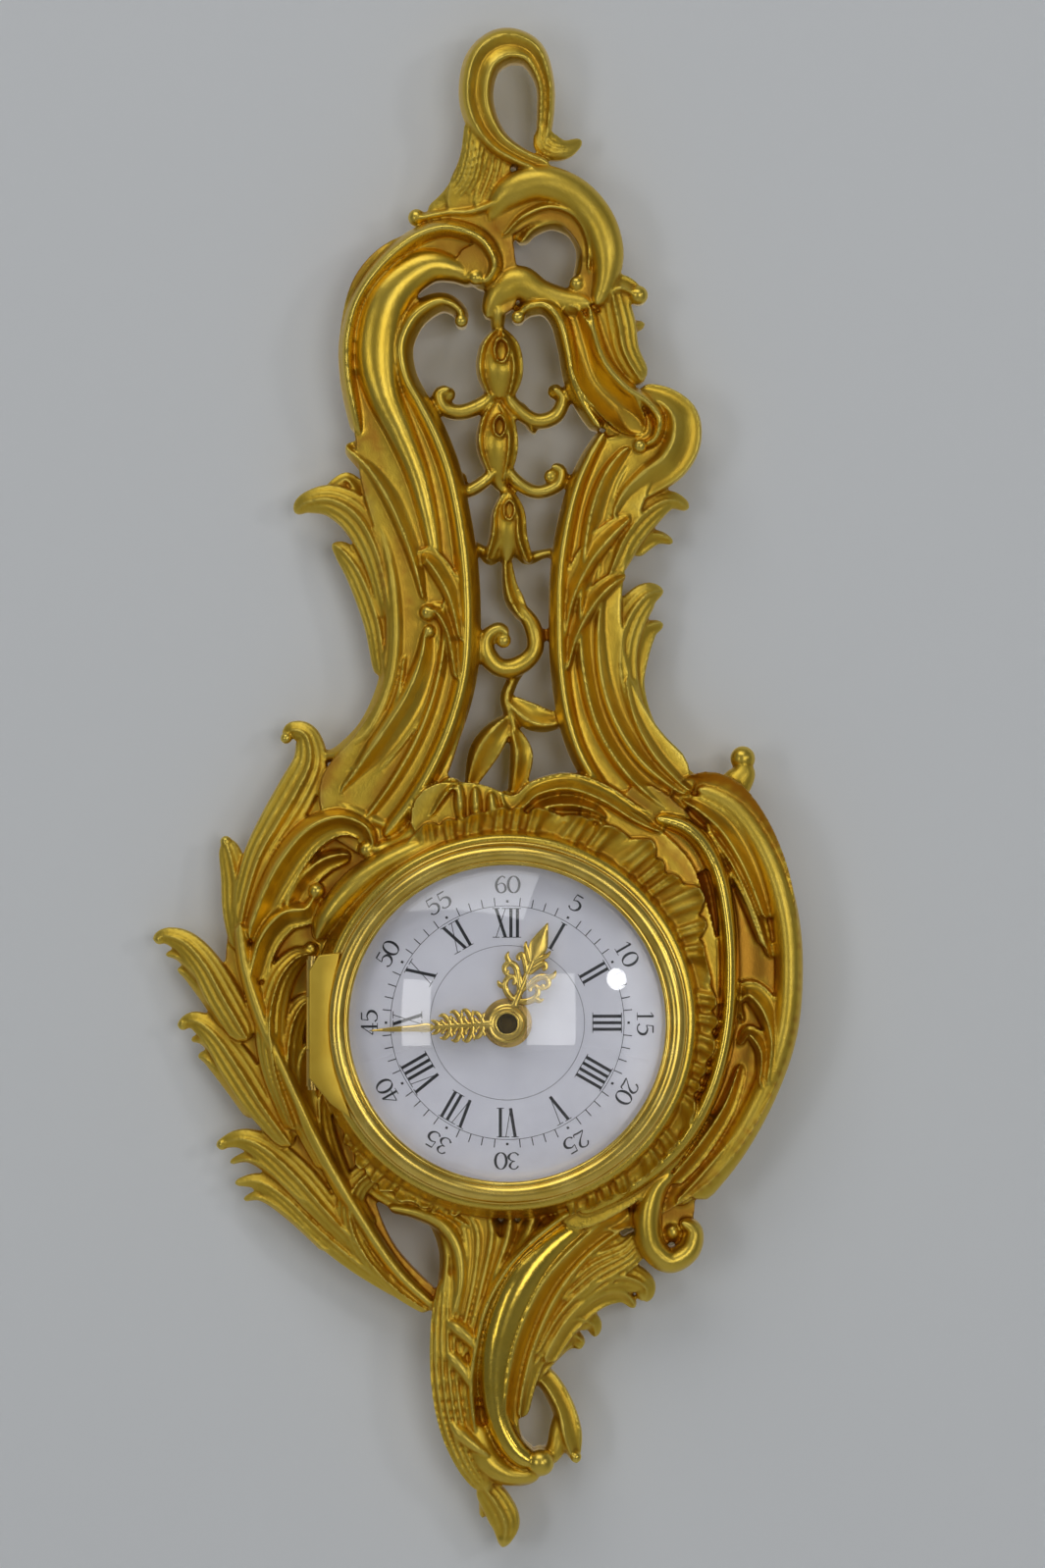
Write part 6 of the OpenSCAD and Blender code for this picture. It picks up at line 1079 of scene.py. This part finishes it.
def makePrint():
    look = printLook
    part = bmesh.new()
    low, high = look["hourBase"], look["hourBase"] + look["hourHeight"]
    for hour, word in enumerate(hourWords):
        start = -sum(romanWidth[letter] for letter in word) / 2
        for letter in word:
            wide = romanWidth[letter]
            mid = start + wide / 2
            lean = 0.0 if letter == "I" else look["lean"]
            foot = look["lean"] if letter == "X" else 0.0
            bars = [(mid + foot, mid - lean, look["bar"])]
            if letter != "I":
                bars.append((mid - foot, mid + lean, look["hair"]))
            ends = []
            for x0, x1, half in bars:
                stroke(part, [(x0, low, half), (x1, high, half)], hour * 30)
                ends += [(x1, high)] + ([(x0, low)] if letter != "V" else [])
            for x, y in ends:
                stroke(part, [(x - look["serif"], y, look["hair"]), (x + look["serif"], y, look["hair"])], hour * 30)
            start += wide
    for minute in range(60):
        if minute % 5:
            stroke(part, [(0, look["trackIn"], look["tick"]), (0, look["trackOut"], look["tick"])], minute * 6)
        else:
            stroke(part, [(side * look["dot"], look["dotAt"], look["dot"]) for side in (-1, 1)], minute * 6)
    for minute in range(5, 65, 5):
        digits, size = str(minute), look["minuteHeight"]
        wide = size * look["minuteWide"]
        left = -look["digitStep"] * wide * len(digits) / 2
        for place, digit in enumerate(digits):
            for points in digitStrokes[digit]:
                stroke(part, [(left + (place * look["digitStep"] + look["digitGap"] + x) * wide,
                               look["minuteBase"] + y * size, half * size * look["digitWeight"])
                              for x, y, half in points], minute * 6, steps=4)
    for radius, half in ((look["trackIn"], look["trackLine"]), (look["innerCircle"], look["innerLine"])):
        fullTurn = np.linspace(0, 2 * math.pi, 121)
        stroke(part, [(radius * math.sin(t), radius * math.cos(t), half) for t in fullTurn], 0)
    bmesh.ops.recalc_face_normals(part, faces=part.faces)
    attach(newObject("dialPrint", part, blackEnamelPaint, sharp=30), "case")


makePrint()
print("bezel, glass and dial made")

# pierced hands: leaves and scrolls drawn upright, mm from the axis, each stroke mirrored where it has a pair
handSection = [(-1, 0), (-0.95, 0.5), (-0.7, 0.85), (0, 1), (0.7, 0.85), (0.95, 0.5), (1, 0)]
hourHandLook = {"turn": -22, "bold": 1.25, "depth": 31.9, "hub": 4.6, "bore": 2.65, "middle": [
    [(0, 3.5, 1.1), (0, 6, 0.85), (0, 9, 0.9)], [(0, 8, 0.9), (0, 13, 0.7), (0, 18.4, 0.9)],
    [(0, 17, 0.6), (0, 19.2, 1.4), (0, 22, 2.0), (0, 24.6, 1.5), (0, 27, 0.75), (0, 29, 0.15)]], "pairs": [
    [(0.3, 6.6, 0.7), (2.3, 7.1, 0.75), (4.2, 8.8, 0.7), (4.5, 10.9, 0.6), (3.3, 12.1, 0.55), (2.2, 11.2, 0.5),
     (2.6, 10.1, 0.6)],
    [(0.2, 9.4, 0.65), (1.8, 12.4, 0.7), (3.6, 14.8, 0.75), (5.4, 15.2, 0.7), (6.3, 13.8, 0.6),
     (5.6, 12.5, 0.55), (4.7, 13.2, 0.6)],
    [(4.1, 9.2, 0.7), (5.6, 8.8, 0.6), (6.7, 9.7, 0.15)], [(5.3, 15.1, 0.7), (6.7, 16.4, 0.55), (6.8, 18.0, 0.15)],
    [(0.2, 14.2, 0.6), (1.5, 16.6, 0.65), (3.1, 18.5, 0.65), (4.0, 17.5, 0.5), (3.2, 16.8, 0.5)],
    [(0.3, 17.2, 0.6), (1.8, 19.3, 0.7), (3.1, 20.8, 0.5), (3.5, 22.3, 0.15)],
    [(3.2, 12.0, 0.5), (4.6, 11.9, 0.55), (6.4, 12.6, 0.15)],
    [(0.2, 11.0, 0.5), (1.2, 12.0, 0.6), (1.6, 13.6, 0.2)]]}
minuteHandLook = {"turn": 93, "bold": 1.12, "depth": 33.2, "hub": 5.2, "bore": 1.65, "middle": [
    [(0, 4, 1.2), (0, 7.4, 0.9), (0, 20.4, 0.75)],
    [(0, 19.4, 0.6), (0, 21.4, 1.1), (0, 24.6, 0.85), (0, 30.5, 0.6), (0, 37, 0.12)]], "pairs": [
    points for base, reach in ((6.4, 3.2), (9.2, 4.0), (12.2, 3.8), (15.2, 3.0)) for points in (
        [(0.2, base, 0.65), (reach * 0.55, base + 0.5, 0.7), (reach, base + 1.7, 0.6),
         (reach * 0.95, base + 3.1, 0.15)],
        [(0.2, base + 1.0, 0.55), (reach * 0.42, base + 2.2, 0.6), (reach * 0.62, base + 1.8, 0.5)],
        [(reach * 0.5, base + 0.5, 0.5), (reach * 0.8, base - 0.2, 0.45), (reach * 1.02, base - 0.1, 0.15)])]
    + [[(0.2, 18.0, 0.55), (1.3, 19.0, 0.6), (1.9, 20.4, 0.15)]]}
handThickness = 0.7
hubSteps = [(0, 0), (0, 0.35), (-0.4, 0.6), (-0.9, 0.5), (-1.2, 0.7)]  # mm out from the hub's edge, mm up


def makeHand(name, look, body, node):
    part = bmesh.new()
    c, s = math.cos(math.radians(look["turn"])), math.sin(math.radians(look["turn"]))

    def layer(x, y, front, up):
        return look["depth"] + handThickness * up
    both = [(points, 1) for points in look["middle"] + look["pairs"]] + [(points, -1) for points in look["pairs"]]
    for points, side in both:
        turned = [(x * side * c - y * s, x * side * s + y * c, half * look["bold"], 0) for x, y, half in points]
        sweep(part, turned, handSection, steps=5, depthAt=layer)
    deep = look["depth"]
    lathe(part, [(look["bore"], deep)] + [(look["hub"] + out, deep + up) for out, up in hubSteps]
          + [(look["bore"], deep + handThickness)], turns=64)
    piece = newObject(name, part, burnishedGilt, sharp=40)
    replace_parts(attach(piece, body), node)


makeHand("hourHand", hourHandLook, "hour", "hour_hand")
makeHand("minuteHand", minuteHandLook, "minute", "minute_hand")

nutShape = {"depth": 33.9, "radius": 3.6, "bore": 1.65, "height": 2.3, "recess": 0.9, "shoulder": 0.7, "round": 0.55,
            "polishedRim": 1.0}


def makeHandNut():
    look = nutShape
    base, top, edge = look["depth"], look["depth"] + look["height"], look["round"]
    part = bmesh.new()
    lathe(part, [(look["bore"], base), (look["radius"], base), (look["radius"], top - look["shoulder"])]
          + arcPoints((look["radius"] - edge, top - edge), edge, 0, 130, 9)
          + [(look["radius"] - 2 * edge, top - look["recess"]), (look["bore"], top - look["recess"])], turns=72)
    piece = newObject("handNut", part, burnishedGilt, sharp=45)
    piece.data.materials.append(agedBrass)
    inner = (look["radius"] - look["polishedRim"]) * mm
    for face in piece.data.polygons:  # the sunk middle is coloured dark brown
        if math.hypot(face.center.x, face.center.z - drawing["axisHeight"] * mm) < inner:
            face.material_index = 1
    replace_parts(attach(piece, "minute"), "hand_nut")


makeHandNut()
print("hands made")

nodeFinish = {turnedBrass: ["dial_ring", "rear_cover", "glass_retainer", "brass_washer", "fixing_nut"],
              agedBrass: ["minute_arbor"],
              drawnBrass: ["hinge_bracket", "bracket_screws", "hinge_pin", "movement_drum", "hanging_strap"],
              millSteel: ["drum_screws", "strap_screws", "stepper_motor", "friction_spring"],
              platedSteel: ["quartz_can", "positive_contact", "negative_contact"],
              blackAbs: ["movement_front_case", "movement_back_case"],
              paleAcetal: ["hour_wheel", "minute_wheel", "setting_knob"], blackRubber: ["rubber_washer"],
              copperWire: ["motor_coil", "dial_feet"], circuitLaminate: ["circuit_board"], batterySleeve: ["battery"]}
for material, nodes in nodeFinish.items():
    for node in nodes:
        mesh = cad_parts[node].data
        mesh.materials.clear()
        mesh.materials.append(material)
print("inner pieces finished")

# metres, apart from the weave of the paint in mm
stageLook = {"wall": "#ebedef", "wallSize": 6, "wallBehind": 0.0006,
             "floor": "#eeeeec", "floorSize": 8, "floorAhead": -2, "floorBelow": -1.5,
             "rough": 0.8, "weaveSize": 1.2, "weaveLift": 0.06, "weaveShare": 0.2}


def makeStage():
    look = stageLook
    planes = []
    for name, colour, size, spot, tilt in (
            ("wallPlane", look["wall"], look["wallSize"], (0, look["wallBehind"], 0), math.pi / 2),
            ("floorPlane", look["floor"], look["floorSize"], (0, look["floorAhead"], look["floorBelow"]), 0)):
        part = bmesh.new()
        bmesh.ops.create_grid(part, x_segments=1, y_segments=1, size=size / 2,
                              matrix=Matrix.Translation(spot) @ Matrix.Rotation(tilt, 4, "X"))
        # painted plaster, seen only from the front so that the clock's back can be looked at
        material, tree = newMaterial(name + "Paint")
        weave = bumped(tree, noise(tree, look["weaveSize"], detail=2.0), look["weaveLift"], look["weaveShare"])
        paint = addNode(tree, "ShaderNodeBsdfPrincipled", {"Base Color": linear(colour), "Roughness": look["rough"]},
                        {"Normal": weave})
        away = addNode(tree, "ShaderNodeNewGeometry")
        clear = addNode(tree, "ShaderNodeBsdfTransparent")
        mixed = addNode(tree, "ShaderNodeMixShader", links={0: away.outputs["Backfacing"], 1: paint.outputs["BSDF"],
                                                            2: clear.outputs["BSDF"]})
        addNode(tree, "ShaderNodeOutputMaterial", links={"Surface": mixed.outputs["Shader"]})
        plane = newObject(name, part, material)
        planes.append(plane)
    return planes


wall = makeStage()[0]

scene = bpy.context.scene
cameraLook = {"place": (0.0041, -1.62, -0.1577), "lens": 135.6}
camera = bpy.data.objects.new("photoCamera", bpy.data.cameras.new("photoCamera"))
camera.location, camera.rotation_euler = cameraLook["place"], (math.pi / 2, 0, 0)
camera.data.lens, camera.data.sensor_width = cameraLook["lens"], 36
camera.data.clip_start, camera.data.clip_end = 0.05, 50
scene.collection.objects.link(camera)
scene.camera = camera

# soft windows: place, size across and up, strength in watts; all face the middle of the clock
clockMiddle = Vector((0, 0, -0.2))
lamps = {"windowRight": ("RECTANGLE", (0.61, -2.11, -0.095), 0.7, 1.01, 5.3),
         "windowLeft": ("RECTANGLE", (-1.23, -1.82, -0.15), 0.42, 0.9, 3.1),
         "lampRight": ("DISK", (1.2, -1.35, 0.2), 0.24, 0.24, 1.3),
         "keyHigh": ("RECTANGLE", (-0.5, -1.4, 1.7), 1.9, 1.1, 11.6),
         "behindWall": ("RECTANGLE", (0, 2.2, -0.1), 2.0, 2.0, 3.2)}
# the wall casts no shadow from the lamp behind it, so that the clock's back can be looked at
seenThrough = bpy.data.collections.new("seenThrough")
seenThrough.objects.link(wall)
seenThrough.collection_objects[0].light_linking.link_state = "EXCLUDE"
for name, (shape, place, wide, high, watts) in lamps.items():
    lamp = bpy.data.lights.new(name, "AREA")
    lamp.shape, lamp.size, lamp.size_y, lamp.energy = shape, wide, high, watts
    holder = bpy.data.objects.new(name, lamp)
    holder.location = place
    holder.rotation_euler = (clockMiddle - Vector(place)).to_track_quat("-Z", "Y").to_euler()
    if place[1] > 0:  # stands behind the wall
        holder.light_linking.blocker_collection = seenThrough
    scene.collection.objects.link(holder)
roomLook = {"Color": linear("#c6cbd0"), "Strength": 0.258}
room = bpy.data.worlds.new("paleRoom")
room.use_nodes = True
for socket, value in roomLook.items():
    room.node_tree.nodes["Background"].inputs[socket].default_value = value
scene.world = room
scene.view_settings.view_transform = "Standard"
print("stage, camera and light set")
